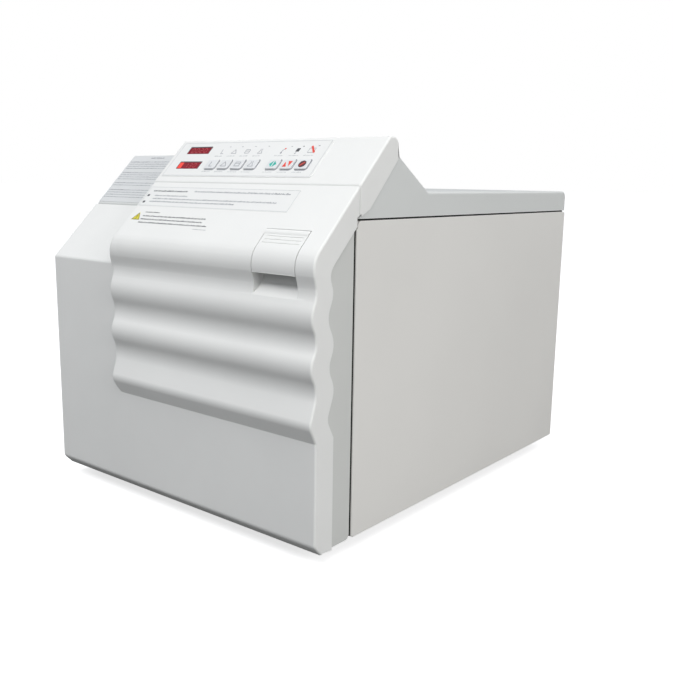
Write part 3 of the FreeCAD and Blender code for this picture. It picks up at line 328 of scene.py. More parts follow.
def metal_finishes():
    look = {
        "hood_paint": painted("hood_paint", (0.705, 0.722, 0.71), 0.34, 0.44),
        "panel_paint": painted("panel_paint", (0.815, 0.805, 0.775), 0.31, 0.40),
        "stainless": brushed("brushed_stainless", (0.62, 0.615, 0.60), 0.29, 0.44,
                             (1.0, 0.05, 1.0)),
        "bright_steel": brushed("bright_steel", (0.70, 0.70, 0.69), 0.14, 0.26, (0.06, 1.0, 1.0)),
    }
    zinc = finish("zinc_sheet", (0.58, 0.60, 0.61), 0.35, metallic=1.0)
    spangle = pattern(zinc, "Voronoi", 90.0).outputs["Color"]
    mottle(zinc, spangle, (0.46, 0.48, 0.50), (0.66, 0.68, 0.69), 0.1, 0.9)
    shine(zinc, spangle, 0.30, 0.48)
    relief(zinc, noise(zinc, 420.0, detail=3.0), 0.00002, 0.4)
    look["zinc_steel"] = zinc

    sheath = finish("heater_sheath", (0.16, 0.13, 0.11), 0.42, metallic=0.9)
    tarnish = noise(sheath, 70.0, detail=6.0)
    mottle(sheath, tarnish, (0.07, 0.06, 0.07), (0.27, 0.20, 0.14))
    shine(sheath, tarnish, 0.34, 0.6)
    look["element_sheath"] = sheath

    for name, tone, dull in (("copper", (0.76, 0.36, 0.20), (0.42, 0.20, 0.12)),
                             ("brass", (0.78, 0.58, 0.25), (0.50, 0.36, 0.16))):
        metal = finish(name + "_metal", tone, 0.28, metallic=1.0)
        stain = noise(metal, 85.0, detail=7.0, roughness=0.65)
        mottle(metal, stain, dull, tone, 0.36, 0.66)
        shine(metal, stain, 0.29, 0.48)
        look[name] = metal

    iron = finish("laminated_iron", (0.12, 0.12, 0.125), 0.5, metallic=0.6)
    winding, core = (0.50, 0.20, 0.08), (0.10, 0.10, 0.11)
    zones(iron, "Y", [(-200, winding), (70, core), (128, winding)])
    sheets = pattern(iron, "Wave", 320.0, (1.0, 0.0, 0.0), distortion=0.4)
    relief(iron, sheets.outputs["Fac"], 0.0002, 0.7)
    look["transformer_iron"] = iron
    return look


def soft_finishes():
    """Rubber, silicone, insulation, tank and hose."""
    rubber = finish("foot_rubber", (0.022, 0.022, 0.022), 0.75, specular_ior_level=0.3)
    grit = noise(rubber, 900.0, detail=4.0)
    mottle(rubber, noise(rubber, 60.0, detail=5.0), (0.014, 0.014, 0.014), (0.045, 0.044, 0.042))
    relief(rubber, grit, 0.00008, 0.8)

    silicone = finish("silicone", (0.70, 0.66, 0.60), 0.42, subsurface_weight=0.15,
                      subsurface_scale=0.002)
    mottle(silicone, noise(silicone, 120.0, detail=4.0), (0.60, 0.56, 0.50), (0.74, 0.71, 0.66))
    relief(silicone, noise(silicone, 500.0, detail=2.0), 0.00003, 0.5)

    blanket = finish("glass_fibre", (0.72, 0.66, 0.50), 0.95, sheen_weight=0.3)
    weave = pattern(blanket, "Brick", 130.0)
    fuzz = noise(blanket, 160.0, (1.0, 0.3, 1.0), detail=8.0, roughness=0.75)
    mottle(blanket, fuzz, (0.50, 0.44, 0.30), (0.80, 0.76, 0.64))
    relief(blanket, fuzz, 0.0012, 0.8)
    relief(blanket, weave.outputs["Fac"], 0.0004, 0.5)

    tank = finish("milky_tank", (0.78, 0.79, 0.76), 0.45, subsurface_weight=0.25,
                  subsurface_scale=0.006)
    mottle(tank, noise(tank, 16.0, detail=4.0), (0.70, 0.72, 0.69), (0.82, 0.83, 0.80))
    relief(tank, noise(tank, 240.0, detail=3.0), 0.00008, 0.5)

    hose = finish("clear_hose", (0.86, 0.88, 0.86), 0.12, transmission_weight=0.7, ior=1.42)
    mottle(hose, noise(hose, 45.0, detail=4.0), (0.76, 0.78, 0.74), (0.90, 0.92, 0.90))
    relief(hose, noise(hose, 90.0, (1.0, 1.0, 0.1), detail=2.0), 0.0001, 0.4)
    return {"foot_rubber": rubber, "silicone": silicone, "insulation": blanket,
            "tank_plastic": tank, "clear_tube": hose}


def electric_finishes():
    """Circuit boards, and the display windows with their lit figures."""
    board = finish("circuit_board", (0.03, 0.16, 0.07), 0.34, coat_weight=0.3)
    tracks = pattern(board, "Brick", 55.0)
    tracks.inputs["Color1"].default_value = (0.02, 0.14, 0.06, 1)
    tracks.inputs["Color2"].default_value = (0.03, 0.20, 0.08, 1)
    tracks.inputs["Mortar"].default_value = (0.30, 0.36, 0.12, 1)
    board.node_tree.links.new(tracks.outputs["Color"],
                              board.node_tree.nodes["Principled BSDF"].inputs["Base Color"])
    relief(board, tracks.outputs["Fac"], 0.00005, 0.5)

    lens = finish("red_filter", (0.30, 0.006, 0.022), 0.16, specular_ior_level=0.25)
    mottle(lens, noise(lens, 30.0, detail=3.0), (0.20, 0.004, 0.014), (0.27, 0.006, 0.02))
    shine(lens, noise(lens, 120.0, detail=4.0), 0.12, 0.22)
    look = {"circuit_board": board, "display_lens": lens}
    for name, tone, power in (("figures", (0.36, 0.010, 0.022), 0.10),
                              ("glow", (0.60, 0.03, 0.02), 0.55)):
        lit = finish("red_" + name, tone, 0.3, emission_color=(1.0, 0.06, 0.03, 1),
                     emission_strength=power)
        mottle(lit, noise(lit, 900.0, detail=2.0), shaded(tone, 0.7), tone)
        look[name] = lit
    return look


LOOK = {**plastic_finishes(), **metal_finishes(), **soft_finishes(), **electric_finishes()}


def ink(name, colour):
    """Screen-printed ink with a slightly uneven lay."""
    made = finish("ink_" + name, colour, 0.5)
    mottle(made, noise(made, 260.0, detail=4.0), shaded(colour, 0.85),
           tuple(min(1.0, c * 1.12) for c in colour))
    return made


INK = {name: ink(name, colour) for name, colour in (
    ("dark", (0.075, 0.08, 0.09)), ("grey", (0.33, 0.34, 0.37)), ("pale", (0.52, 0.54, 0.55)),
    ("print_grey", (0.42, 0.44, 0.46)), ("red", (0.80, 0.07, 0.045)),
    ("teal", (0.03, 0.47, 0.40)), ("maroon", (0.10, 0.03, 0.035)),
    ("yellow", (0.74, 0.66, 0.03)))}


# ---------------------------------------------------------------- meshes
WELD = 2e-6                     # metres: points this near are one point


def mesh_object(name, bm, material):
    """Object in the scene from a finished bmesh, with one material."""
    mesh = bpy.data.meshes.new(name)
    bm.to_mesh(mesh)
    bm.free()
    mesh.materials.append(material)
    made = bpy.data.objects.new(name, mesh)
    bpy.context.scene.collection.objects.link(made)
    return made


def piece(name, bm, material, body, replaces=(), smooth=32.0, bevel=0.0):
    """Finish a mesh as a piece of the object that rides on a body."""
    bmesh.ops.remove_doubles(bm, verts=bm.verts, dist=WELD)
    bmesh.ops.dissolve_degenerate(bm, edges=bm.edges, dist=WELD / 2)
    bmesh.ops.recalc_face_normals(bm, faces=bm.faces)
    made = mesh_object(name, bm, material)
    made.data.shade_smooth()
    made.data.set_sharp_from_angle(angle=math.radians(smooth))
    if bevel:
        soften(made, bevel, 50.0)
    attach(made, body)
    if replaces:
        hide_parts(*replaces)


def soften(made, width, angle):
    """Small rounding of the edges sharper than an angle in degrees."""
    rounding = made.modifiers.new("rounding", "BEVEL")
    rounding.width = width * MM
    rounding.segments = 3
    rounding.limit_method = "ANGLE"
    rounding.angle_limit = math.radians(angle)
    rounding.harden_normals = False
    even = made.modifiers.new("even", "WEIGHTED_NORMAL")
    even.keep_sharp = False


def shell(outer, inner, is_open):
    """Closed wall between two grids of points; is_open(row, column) cells are left out."""
    bm = bmesh.new()
    skin, lining = grids = [[[bm.verts.new(at(*point)) for point in line] for line in grid]
                            for grid in (outer, inner)]
    rows, columns = len(outer) - 1, len(outer[0]) - 1
    cells = {(r, c) for r in range(rows) for c in range(columns) if not is_open(r, c)}
    for r, c in cells:
        for grid in grids:
            bm.faces.new([grid[r][c], grid[r][c + 1], grid[r + 1][c + 1], grid[r + 1][c]])
        sides = {(r - 1, c): ((r, c), (r, c + 1)), (r + 1, c): ((r + 1, c), (r + 1, c + 1)),
                 (r, c - 1): ((r, c), (r + 1, c)), (r, c + 1): ((r, c + 1), (r + 1, c + 1))}
        for neighbour, ((r1, c1), (r2, c2)) in sides.items():
            if neighbour not in cells:
                bm.faces.new([skin[r1][c1], skin[r2][c2], lining[r2][c2], lining[r1][c1]])
    return bm


def rounded(corners, step=7.0):
    """Open outline through (y, z, radius) corners, every arc as short chords of step degrees."""
    points = []
    for i, (y, z, radius) in enumerate(corners):
        here = Vector((y, z))
        if radius == 0:
            points.append(here)
            continue
        before = (Vector(corners[i - 1][:2]) - here).normalized()
        after = (Vector(corners[i + 1][:2]) - here).normalized()
        half = math.acos(max(-1.0, min(1.0, before.dot(after)))) / 2
        reach = radius / math.tan(half)
        centre = here + (before + after).normalized() * (radius / math.sin(half))
        start = here + before * reach - centre
        end = here + after * reach - centre
        turn = start.angle_signed(end)
        count = max(2, math.ceil(math.degrees(abs(turn)) / step))
        for k in range(count + 1):
            angle = -turn * k / count
            c, s = math.cos(angle), math.sin(angle)
            points.append(centre + Vector((start.x * c - start.y * s, start.x * s + start.y * c)))
    return points


def with_marks(points, marks, longest=14.0):
    """Outline with extra points at given heights and along its long straight runs."""
    dense = [points[0]]
    for tail, tip in zip(points, points[1:]):
        cuts = [(m - tail.y) / (tip.y - tail.y) for m in set(marks)
                if min(tail.y, tip.y) + 1e-6 < m < max(tail.y, tip.y) - 1e-6]
        runs = math.ceil((tip - tail).length / longest)
        cuts += [k / runs for k in range(1, runs)]
        dense += [tail.lerp(tip, t) for t in sorted(cuts)] + [tip]
    return dense


def height_on(points, z):
    """Point of a rising outline at height z."""
    for tail, tip in zip(points, points[1:]):
        if z <= tip.y:
            return tail.lerp(tip, (z - tail.y) / max(tip.y - tail.y, 1e-9))
    return points[-1].copy()


def between(table, x):
    """Value that goes with x in a rising table of (x, value) pairs; constant past its end."""
    for (x0, value0), (x1, value1) in zip(table, table[1:]):
        if x <= x1:
            return value0 + (x - x0) * (value1 - value0) / (x1 - x0)
    return table[-1][1]


def outward(points):
    """Unit normals of a rising outline, pointing forward."""
    normals = []
    for before, after in zip([points[0], *points], [*points[1:], points[-1]]):
        along = (after - before).normalized()
        normals.append(Vector((-along.y, along.x)))
    return normals


def middle(grid, r, c):
    """Middle of a grid's cell across (X) and up (Z)."""
    low, beside, above = grid[r][c], grid[r][c + 1], grid[r + 1][c]
    return (low[0] + beside[0]) / 2, (low[2] + above[2]) / 2


# ---------------------------------------------------------------- door cover
FRONT_FLAT = -61.5
RAISED = 376.0                  # raised 45 degree face: Z = Y + RAISED
LOW = 344.4                     # recessed 45 degree face: Z = Y + LOW
RAISED_LEFT = -100.0
WALL = 3.5
EDGE = 2.4                      # rounding of the cover's outer corners
PILLOW = 5.0                    # rounding of the raised part's left edge
STEP_FOOT = 123.0               # lower edge of the waves
STEP_CORNER = 12.0              # rounding of the waves' lower left corner
LATCH_X = (139.3, 200.3)
LATCH_Z = (268.0, 334.6)
RECESS = [(-50.0, 280.0), (-44.0, 292.0), (-30.0, 306.0), (-30.0, LATCH_Z[1])]
RECESS_WALL = 2.0
LEVER_X = (167.0, 177.0)        # slot for the paddle's lever through the recess
LEVER_Z = (312.0, 330.0)
RAISED_REAR = 2.8               # rear edges of the two slanted faces
LOW_REAR = 4.4
LIP_BOTTOM = {RAISED: 347.5, LOW: 344.8}   # above it the side walls reach past the parting plane
BEVEL = [(-51.0, 0.0, 0), (FRONT_FLAT, 11.0, 8)]
WAVES = [(FRONT_FLAT, STEP_FOOT, 3), (-71.0, 142.0, 14), (-59.6, 176.5, 26), (-72.9, 200.8, 24),
         (-58.6, 225.2, 24), (-71.6, 249.8, 28), (-60.6, 276.3, 26)]
RAISED_FRONT = BEVEL + WAVES + [(-70.6, RAISED - 70.6, 28), (RAISED_REAR, RAISED + RAISED_REAR, 0)]
LEFT_FRONT = BEVEL + [(FRONT_FLAT, FRONT_FLAT + LOW, 5), (LOW_REAR, LOW + LOW_REAR, 0)]
SKIRT_REAR = -33.6              # rear edges of the side walls
SKIRT_DROP = 37.9               # from a slanted face down to the rear edge beside it
SKIRT_FOOT = [(SKIRT_REAR, -1.0, 0)]
RAISED_SKIRT = SKIRT_FOOT + [
    (SKIRT_REAR, 124.5, 3), (-44.3, 144.5, 14), (-32.0, 176.0, 24), (-43.8, 197.5, 22),
    (-32.9, 223.0, 24), (-46.2, 248.5, 24), (-35.6, 273.5, 20),
    (-43.8, RAISED - SKIRT_DROP - 43.8, 16), (20.0, RAISED - SKIRT_DROP + 20.0, 0)]
LEFT_SKIRT = SKIRT_FOOT + [(SKIRT_REAR, LOW - SKIRT_DROP + SKIRT_REAR, 5),
                           (20.0, LOW - SKIRT_DROP + 20.0, 0)]
# Heights on the front outline and the heights that go with them on the rear edge.
RAISED_PAIRS = [(0, 0), (123, 124.5), (142, 144.5), (176.5, 176), (200.8, 197.5), (225.2, 223),
                (249.8, 248.5), (276.3, 273.5), (305.4, 294.3), (342, 338.1), (378.8, 376.6)]
LOW_PAIRS = [(0, 0), (262, 258), (282.9, 272.9), (318, 306.5), (348.8, 346.6)]
SKIRTS = {RAISED: (rounded(RAISED_SKIRT), RAISED_PAIRS), LOW: (rounded(LEFT_SKIRT), LOW_PAIRS)}
LOW_BENDS = [(0.0, 0.0), (262.0, 262.0), (319.0, 319.0 - RAISED + LOW),
             (RAISED + RAISED_REAR, LOW + LOW_REAR)]   # raised part's heights on the left column
QUARTER = [math.radians(k * 15.0) for k in range(7)]
LEFT_X = (-200.0, -160.0, -125.0, -108.0)  # columns of points across the cover's flat parts
RIGHT_X = 213.0
MIDDLE_SHARES = (0.1, 0.3, 0.5, 0.7, 0.9)
RECESS_X = (LATCH_X[0], 150.0, *LEVER_X, 190.0, LATCH_X[1])
EXTRA_HEIGHTS = (342.0, 350.3, 350.8)      # where the side walls' rear edges turn
WALL_SHARES = (1.0, 0.5, 0.0)   # down a side wall, from its rear edge forward
NEAR = 1e-3                     # mm: heights this near are the same


def behind_skin(point, rear, slant):
    """Point of the cover's inner face behind a front point."""
    return Vector((min(point.x + WALL, rear), min(point.y, slant + rear - WALL)))


def skirt_edge(slant, point, rear):
    """Rear edge of a side wall behind a front point."""
    outline, pairs = SKIRTS[slant]
    z = between(pairs, point.y)
    limit = rear if z > LIP_BOTTOM[slant] else 0.0
    return Vector((min(height_on(outline, z).x, limit), z))


def side_columns(side, point, normal, lining, slant, rear_limit):
    """Outer and inner points of a side wall and its rounded corner, from the rear forward."""
    start = point - normal * EDGE
    start.x = min(start.x, rear_limit)
    rear = skirt_edge(slant, point, rear_limit)
    rear_lining = Vector((rear.x, min(rear.y, lining.y) if rear.x >= rear_limit else rear.y))
    x_out, x_in = side * HALF, side * (HALF - WALL)
    columns = []
    for share in WALL_SHARES:
        wall = start.lerp(rear, share)
        inside = lining.lerp(rear_lining, share)
        columns.append(((x_out, *wall), (x_in, *inside)))
    for angle in QUARTER[1:]:
        spot = point - normal * (EDGE * (1 - math.sin(angle)))
        x = side * (HALF - EDGE * (1 - math.cos(angle)))
        columns.append(((x, min(spot.x, rear_limit), spot.y), (x_in, *lining)))
    return columns


def with_recess(raised):
    """Rows of the cover as (front point, recess point or None); the recess's roof doubles a row."""
    route = [height_on(raised, LATCH_Z[0])] + [Vector(corner) for corner in RECESS]
    rows = []
    for point in raised:
        inside = LATCH_Z[0] + NEAR < point.y < LATCH_Z[1] + NEAR
        if inside:
            rows.append((point, height_on(route, min(point.y, LATCH_Z[1] - NEAR / 1000))))
        if not inside or point.y > LATCH_Z[1] - NEAR:
            rows.append((point, None))
    return rows


def recess_columns(high, high_lining, deep):
    """Points across the latch opening: on the cover's face, or in the finger recess."""
    if deep is None:
        face, lining = high, high_lining
        if abs(high.y - LATCH_Z[1]) < NEAR:
            lining = high_lining + Vector((RECESS_WALL, RECESS_WALL))
    else:
        rise = RECESS_WALL if deep.y > LATCH_Z[1] - 10 * NEAR else 0.0
        face, lining = (deep.x, high.y), (deep.x + WALL, high.y + rise)
    walls = (-RECESS_WALL, 0, 0, 0, 0, RECESS_WALL)
    return [((x, *face), (x + wall, *lining)) for x, wall in zip(RECESS_X, walls)]


def door_cover():
    """Moulded front: low left column, raised waves with a soft left edge, finger recess."""
    marks = (*LATCH_Z, *LEVER_Z, *(z for _, z in RECESS), STEP_FOOT, *EXTRA_HEIGHTS,
             RAISED + RAISED_REAR - WALL)
    raised = with_marks(rounded(RAISED_FRONT), marks)
    left_outline = rounded(LEFT_FRONT)
    rows = with_recess(raised)
    low = [height_on(left_outline, between(LOW_BENDS, high.y)) for high, _ in rows]
    fronts = [high for high, _ in rows]
    outer, inner = [], []
    normals = zip(outward(fronts), outward(low))
    for (high, deep), foot, (high_normal, low_normal) in zip(rows, low, normals):
        low_lining = behind_skin(foot, LOW_REAR, LOW)
        high_lining = behind_skin(high, RAISED_REAR, RAISED)
        columns = side_columns(-1, foot, low_normal, low_lining, LOW, LOW_REAR)
        bend = max(0.0, min(STEP_CORNER, STEP_FOOT + STEP_CORNER - high.y))
        shift = STEP_CORNER - math.sqrt(STEP_CORNER ** 2 - bend ** 2)
        edge_x = RAISED_LEFT + shift
        columns += [((x, *foot), (x, *low_lining)) for x in LEFT_X]
        columns.append(((edge_x, *foot), (edge_x + WALL, *low_lining)))
        depth = (high - foot).length
        for angle in QUARTER:
            share = 1.0
            if depth > NEAR:
                share = 1 - min(PILLOW, depth) / depth * (1 - math.sin(angle))
            x = edge_x + PILLOW * (1 - math.cos(angle))
            inside_x = edge_x + max(WALL, x - edge_x)
            columns.append(((x, *foot.lerp(high, share)),
                            (inside_x, *low_lining.lerp(high_lining, share))))
        start = edge_x + PILLOW
        stations = [start + (LATCH_X[0] - start) * share for share in MIDDLE_SHARES]
        columns += [((x, *high), (x, *high_lining)) for x in stations]
        wall = RECESS_WALL if deep else 0.0
        columns.append(((LATCH_X[0], *high), (LATCH_X[0] - wall, *high_lining)))
        columns += recess_columns(high, high_lining, deep)
        columns.append(((LATCH_X[1], *high), (LATCH_X[1] + wall, *high_lining)))
        columns.append(((RIGHT_X, *high), (RIGHT_X, *high_lining)))
        columns += side_columns(1, high, high_normal, high_lining, RAISED, RAISED_REAR)[::-1]
        outer.append([c[0] for c in columns])
        inner.append([c[1] for c in columns])

    def in_lever_slot(r, c):
        x, z = middle(outer, r, c)
        return LEVER_Z[0] < z < LEVER_Z[1] and LEVER_X[0] < x < LEVER_X[1]

    bm = shell(outer, inner, in_lever_slot)
    piece("front_cover", bm, LOOK["cover_plastic"], "door",
          ("door_cover", "latch_pocket"), 34.0, 0.5)


door_cover()

# ---------------------------------------------------------------- control housing
SEAM_Y = 4.2
PANEL_Y = 2.0                   # where distances up the slants are counted from
HOUSING_TOP = 430.5
HOUSING_BACK = 71.0
HOOD_TOUCH = LOW + 0.3          # the housing stands on the hood's slanted face: Z = Y + HOOD_TOUCH
HOOD_SIDE = 223.3
SIDE_EDGE = [(SEAM_Y, 347.5), (21.0, 355.6), (HOUSING_BACK, 408.9)]   # over the hood's right side
OVERLAY_X = (-92.0, 150.5)
OVERLAY_S = (14.0, 69.0)
HOUSING_X = (OVERLAY_X[0], -30.0, 30.0, 90.0, OVERLAY_X[1], 190.0)
HOUSING_WALL = 3.0
SLOPE = math.sqrt(0.5)


def above_hood(point):
    return Vector((point.x, max(point.y, point.x + HOOD_TOUCH)))


def control_housing():
    """Moulded cap of the control panel, open below and behind the printed overlay."""
    profile = [(SEAM_Y, SEAM_Y + HOOD_TOUCH, 0), (SEAM_Y, SEAM_Y + RAISED, 4.0),
               (HOUSING_TOP - RAISED, HOUSING_TOP, 5.0), (HOUSING_BACK, HOUSING_TOP, 10.0),
               (HOUSING_BACK, HOUSING_BACK + HOOD_TOUCH, 0)]
    marks = [PANEL_Y + RAISED + s * SLOPE for s in OVERLAY_S]
    slant = with_marks(rounded(profile), marks)
    front_in, back_in = SEAM_Y + 2.5, HOUSING_BACK - HOUSING_WALL
    outer, inner = [], []
    for point, normal in zip(slant, outward(slant)):
        lining_y = min(max(point.x, front_in), back_in)
        lining = above_hood(Vector((lining_y, point.y - HOUSING_WALL)))
        start = above_hood(point - normal * EDGE)
        foot_y = min(max((start.x + start.y - HOOD_TOUCH) / 2, SEAM_Y), HOUSING_BACK)
        foot_in_y = min(max(foot_y, front_in), back_in)
        left_feet = [Vector((y, y + HOOD_TOUCH)) for y in (foot_y, foot_in_y)]
        right_feet = [Vector((y, between(SIDE_EDGE, y))) for y in (foot_y, foot_in_y)]
        ends = []
        for end_x, side, (foot, foot_in), foot_x in (
                (RAISED_LEFT, 1, left_feet, RAISED_LEFT + WALL), (HALF, -1, right_feet, HOOD_SIDE)):
            columns = [((end_x, *start.lerp(foot, t)), (x_in, *lining.lerp(foot_in, t)))
                       for t, x_in in ((1.0, foot_x), (0.5, foot_x), (0.0, end_x + side * WALL))]
            for angle in QUARTER[1:]:
                spot = above_hood(point - normal * (EDGE * (1 - math.sin(angle))))
                x = end_x + side * EDGE * (1 - math.cos(angle))
                columns.append(((x, *spot), (end_x + side * WALL, *lining)))
            ends.append(columns)
        columns = ends[0] + [((x, *point), (x, *lining)) for x in HOUSING_X] + ends[1][::-1]
        outer.append([c[0] for c in columns])
        inner.append([c[1] for c in columns])

    def under_overlay(r, c):
        x, z = middle(outer, r, c)
        on_front = outer[r + 1][c][1] < HOUSING_TOP - RAISED and outer[r][c][1] > SEAM_Y + 1
        return on_front and marks[0] < z < marks[1] and OVERLAY_X[0] < x < OVERLAY_X[1]

    bm = shell(outer, inner, under_overlay)
    piece("panel_housing", bm, LOOK["cover_plastic"], "cabinet",
          ("control_housing",), 34.0, 0.4)


control_housing()


# ---------------------------------------------------------------- dark strips as painted shade in the gaps, and folded edges
STRIP_STEPS = 12


def strip(name, section, place, run, look="foot_rubber"):
    """Strip with one cross-section, from run[0] to run[1]."""
    bm = bmesh.new()
    rings = []
    for k in range(STRIP_STEPS + 1):
        along = run[0] + (run[1] - run[0]) * k / STRIP_STEPS
        rings.append([bm.verts.new(at(*place(a, b, along))) for a, b in section])
    for near, far in zip(rings, rings[1:]):
        for i in range(len(section)):
            j = (i + 1) % len(section)
            bm.faces.new([near[i], near[j], far[j], far[i]])
    bm.faces.new(rings[0][::-1])
    bm.faces.new(rings[-1])
    piece(name, bm, LOOK[look], "cabinet", bevel=0.3)


# Painted shade: dark rubber strips that keep the gaps beside the door frame and under the hood
# dark.
UPRIGHT_GAP_SHADE = [(212.0, 3.9), (222.2, 3.9), (222.4, 2.6), (221.6, 1.4), (219.0, 1.0),
                (214.0, 1.0), (212.0, 1.7)]
FOLDED_EDGE = [(218.0, 3.9), (223.3, 3.9), (223.4, 2.2), (222.9, 1.7), (218.0, 1.7)]
LEVEL_GAP_SHADE = [(214.0, 344.1), (221.1, 344.1), (221.4, 345.0), (220.1, 345.9),
              (220.1, 350.5), (214.0, 350.5)]
UPRIGHT_RUN = (3.0, 336.0)      # heights of the upright strips' ends
LEVEL_RUN = (8.5, 500.0)        # depths of the level strips' ends


def side_strips(side, label):
    """Dark strips beside the door frame and under the hood as painted shade in the gaps, and the
    side panel's folded front edge.
    """
    def upright(x, y, along):
        return side * x, y, along

    def level(x, z, along):
        return side * x, along, z

    # Painted shade in the gaps, from dark rubber strips; the folded edge is plain panel paint.
    strip("front_gap_shade_" + label, UPRIGHT_GAP_SHADE, upright, UPRIGHT_RUN)
    strip("panel_fold_" + label, FOLDED_EDGE, upright, UPRIGHT_RUN, "panel_paint")
    strip("hood_gap_shade_" + label, LEVEL_GAP_SHADE, level, LEVEL_RUN)


side_strips(-1, "left")
side_strips(1, "right")


# ---------------------------------------------------------------- prints
def on_panel(x, s, h):
    """Place on the control panel: s runs up the slant, h stands off it."""
    return at(x, PANEL_Y + (s - h) * SLOPE, PANEL_Y + RAISED + (s + h) * SLOPE)


def on_door(x, s, h):
    """Place on the door's slanted face: s runs up to the parting plane at 0."""
    return at(x, (s - h) * SLOPE, RAISED + (s + h) * SLOPE)


def on_plate(x, s, h):
    """Place on the recessed slanted face left of the panel."""
    return at(x, PANEL_Y + (s - h) * SLOPE, PANEL_Y + LOW + (s + h) * SLOPE)


def prints(name, place, height, shapes, material, body, thickness=0.08):
    """Thin printed shapes, each a convex outline of (x, s) points, standing just off a face."""
    bm = bmesh.new()
    for shape in shapes:
        low = [bm.verts.new(place(x, s, height)) for x, s in shape]
        high = [bm.verts.new(place(x, s, height + thickness)) for x, s in shape]
        bm.faces.new(low[::-1])
        bm.faces.new(high)
        for i in range(len(shape)):
            k = (i + 1) % len(shape)
            bm.faces.new([low[i], low[k], high[k], high[i]])
    bmesh.ops.recalc_face_normals(bm, faces=bm.faces)
    made = mesh_object(name, bm, material)
    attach(made, body)


def bar(x0, x1, s, height):
    return [(x0, s - height / 2), (x1, s - height / 2), (x1, s + height / 2), (x0, s + height / 2)]


def stroke(points, width):
    """Straight strokes along a polyline."""
    shapes = []
    for (x0, s0), (x1, s1) in zip(points, points[1:]):
        length = math.hypot(x1 - x0, s1 - s0)
        dx, ds = (s0 - s1) / length * width / 2, (x1 - x0) / length * width / 2
        shapes.append([(x0 - dx, s0 - ds), (x1 - dx, s1 - ds),
                       (x1 + dx, s1 + ds), (x0 + dx, s0 + ds)])
    return shapes


def frame_lines(x0, x1, s0, s1, width):
    return stroke([(x0, s0), (x1, s0), (x1, s1), (x0, s1), (x0, s0)], width)


def round_shape(x, s, radius, count=20):
    turns = [2 * math.pi * k / count for k in range(count)]
    return [(x + radius * math.cos(turn), s + radius * math.sin(turn)) for turn in turns]


dice = random.Random(11)
DASH_PITCH, DASH_WIDTH, WORD_GAP = 1.15, 0.72, 0.8
DASH_HEIGHTS = (0.68, 0.72, 1.0)


def words(x0, x1, s, height, longest=9.0):
    """A line of print without letters: words made of short upright dashes."""
    shapes = []
    x = x0
    while x < x1 - DASH_PITCH:
        end = min(x + dice.uniform(2.4, longest), x1)
        while x < end:
            foot = s - height / 2
            head = foot + height * dice.choice(DASH_HEIGHTS)
            right = x + DASH_WIDTH
            shapes.append([(x, foot), (right, foot), (right, head), (x, head)])
            x += DASH_PITCH
        x += WORD_GAP
    return shapes


def lines(rows):
    return [dash for row in rows for dash in words(*row)]


# Lines of print on the door: left, right, height up the slant, size, longest word.
LABEL = (-95.0, 152.0, -36.0, -3.4)        # left, right, lower and upper edge
LABEL_HEADING = (-85.0, -24.0, -10.6, 2.3, 12.0)
LABEL_ROWS = ((-11.0, 142.0, -10.0, 2.4, 11.0), (-77.0, -18.0, -18.2, 2.0),
              (-77.0, 131.0, -23.2, 2.1), (-79.0, 67.0, -28.0, 2.1))
CAUTION_HEADING = (-71.0, -46.0, -45.6, 1.7, 14.0)
CAUTION_ROWS = ((-71.0, 39.0, -51.6, 2.1), (-71.0, 37.0, -56.8, 2.1), (-71.5, 48.0, -62.0, 2.1))
CAUTION_NOTE = (30.0, 50.0, -67.4, 1.0)
TRIANGLE = [(-88.5, -58.6), (-73.0, -58.6), (-80.75, -46.4)]
TRIANGLE_LINE = [(-87.3, -57.9), (-74.2, -57.9), (-80.75, -47.8), (-87.3, -57.9)]
ON_SKIN = 0.02                  # how far print stands off the cover, and off the label on it
ON_LABEL = 0.15


def door_prints():
    left, right, low, high = LABEL
    prints("door_label", on_door, ON_SKIN, [bar(left, right, (low + high) / 2, high - low)],
           LOOK["label_print"], "door", thickness=0.12)
    border = frame_lines(left + 1, right - 1, low + 1, high - 1, 0.35)
    prints("door_label_lines", on_door, ON_LABEL, border, INK["pale"], "door")
    bold = words(*LABEL_HEADING) + [bar(-91.0, -87.2, -18.3, 3.2), bar(-91.0, -87.2, -29.2, 3.2)]
    prints("door_label_heading", on_door, ON_LABEL, bold, INK["dark"], "door")
    prints("door_label_text", on_door, ON_LABEL, lines(LABEL_ROWS), INK["grey"], "door")

    prints("caution_heading", on_door, ON_SKIN, words(*CAUTION_HEADING), INK["dark"], "door")
    prints("caution_text", on_door, ON_SKIN, lines(CAUTION_ROWS), INK["dark"], "door")
    prints("caution_note", on_door, ON_SKIN, words(*CAUTION_NOTE), INK["grey"], "door")
    prints("caution_triangle", on_door, ON_SKIN, [TRIANGLE], INK["yellow"], "door")
    mark = [bar(-81.3, -80.2, -53.6, 4.2), bar(-81.3, -80.2, -56.6, 1.0)]
    prints("caution_border", on_door, ON_SKIN + 0.1, stroke(TRIANGLE_LINE, 0.7) + mark,
           INK["dark"], "door")


PLATE_TOP = 0.52
PLATE_HEADING = (-180.0, -154.0, 90.0, 1.9, 12.0)
PLATE_TEXT = (-218.0, -108.0)
PARAGRAPHS = ((82.6, 4, 4.1), (62.0, 4, 3.9), (43.0, 2, 4.2), (30.0, 4, 4.3))  # top, rows, pitch
BOLD_DASHES = 30                # the first dashes of each paragraph


def plate_prints():
    """Paragraphs without letters on the plate beside the control panel."""
    dark = words(*PLATE_HEADING)
    grey = []
    for top, rows, pitch in PARAGRAPHS:
        for row in range(rows):
            short = dice.uniform(12.0, 50.0) if row == rows - 1 else dice.uniform(0.0, 5.0)
            line = words(PLATE_TEXT[0], PLATE_TEXT[1] - short, top - row * pitch, 1.75)
            if row == 0:
                dark += line[:BOLD_DASHES]
                line = line[BOLD_DASHES:]
            grey += line
    prints("plate_headings", on_plate, PLATE_TOP, dark, INK["grey"], "cabinet")
    prints("plate_text", on_plate, PLATE_TOP, grey, INK["print_grey"], "cabinet")


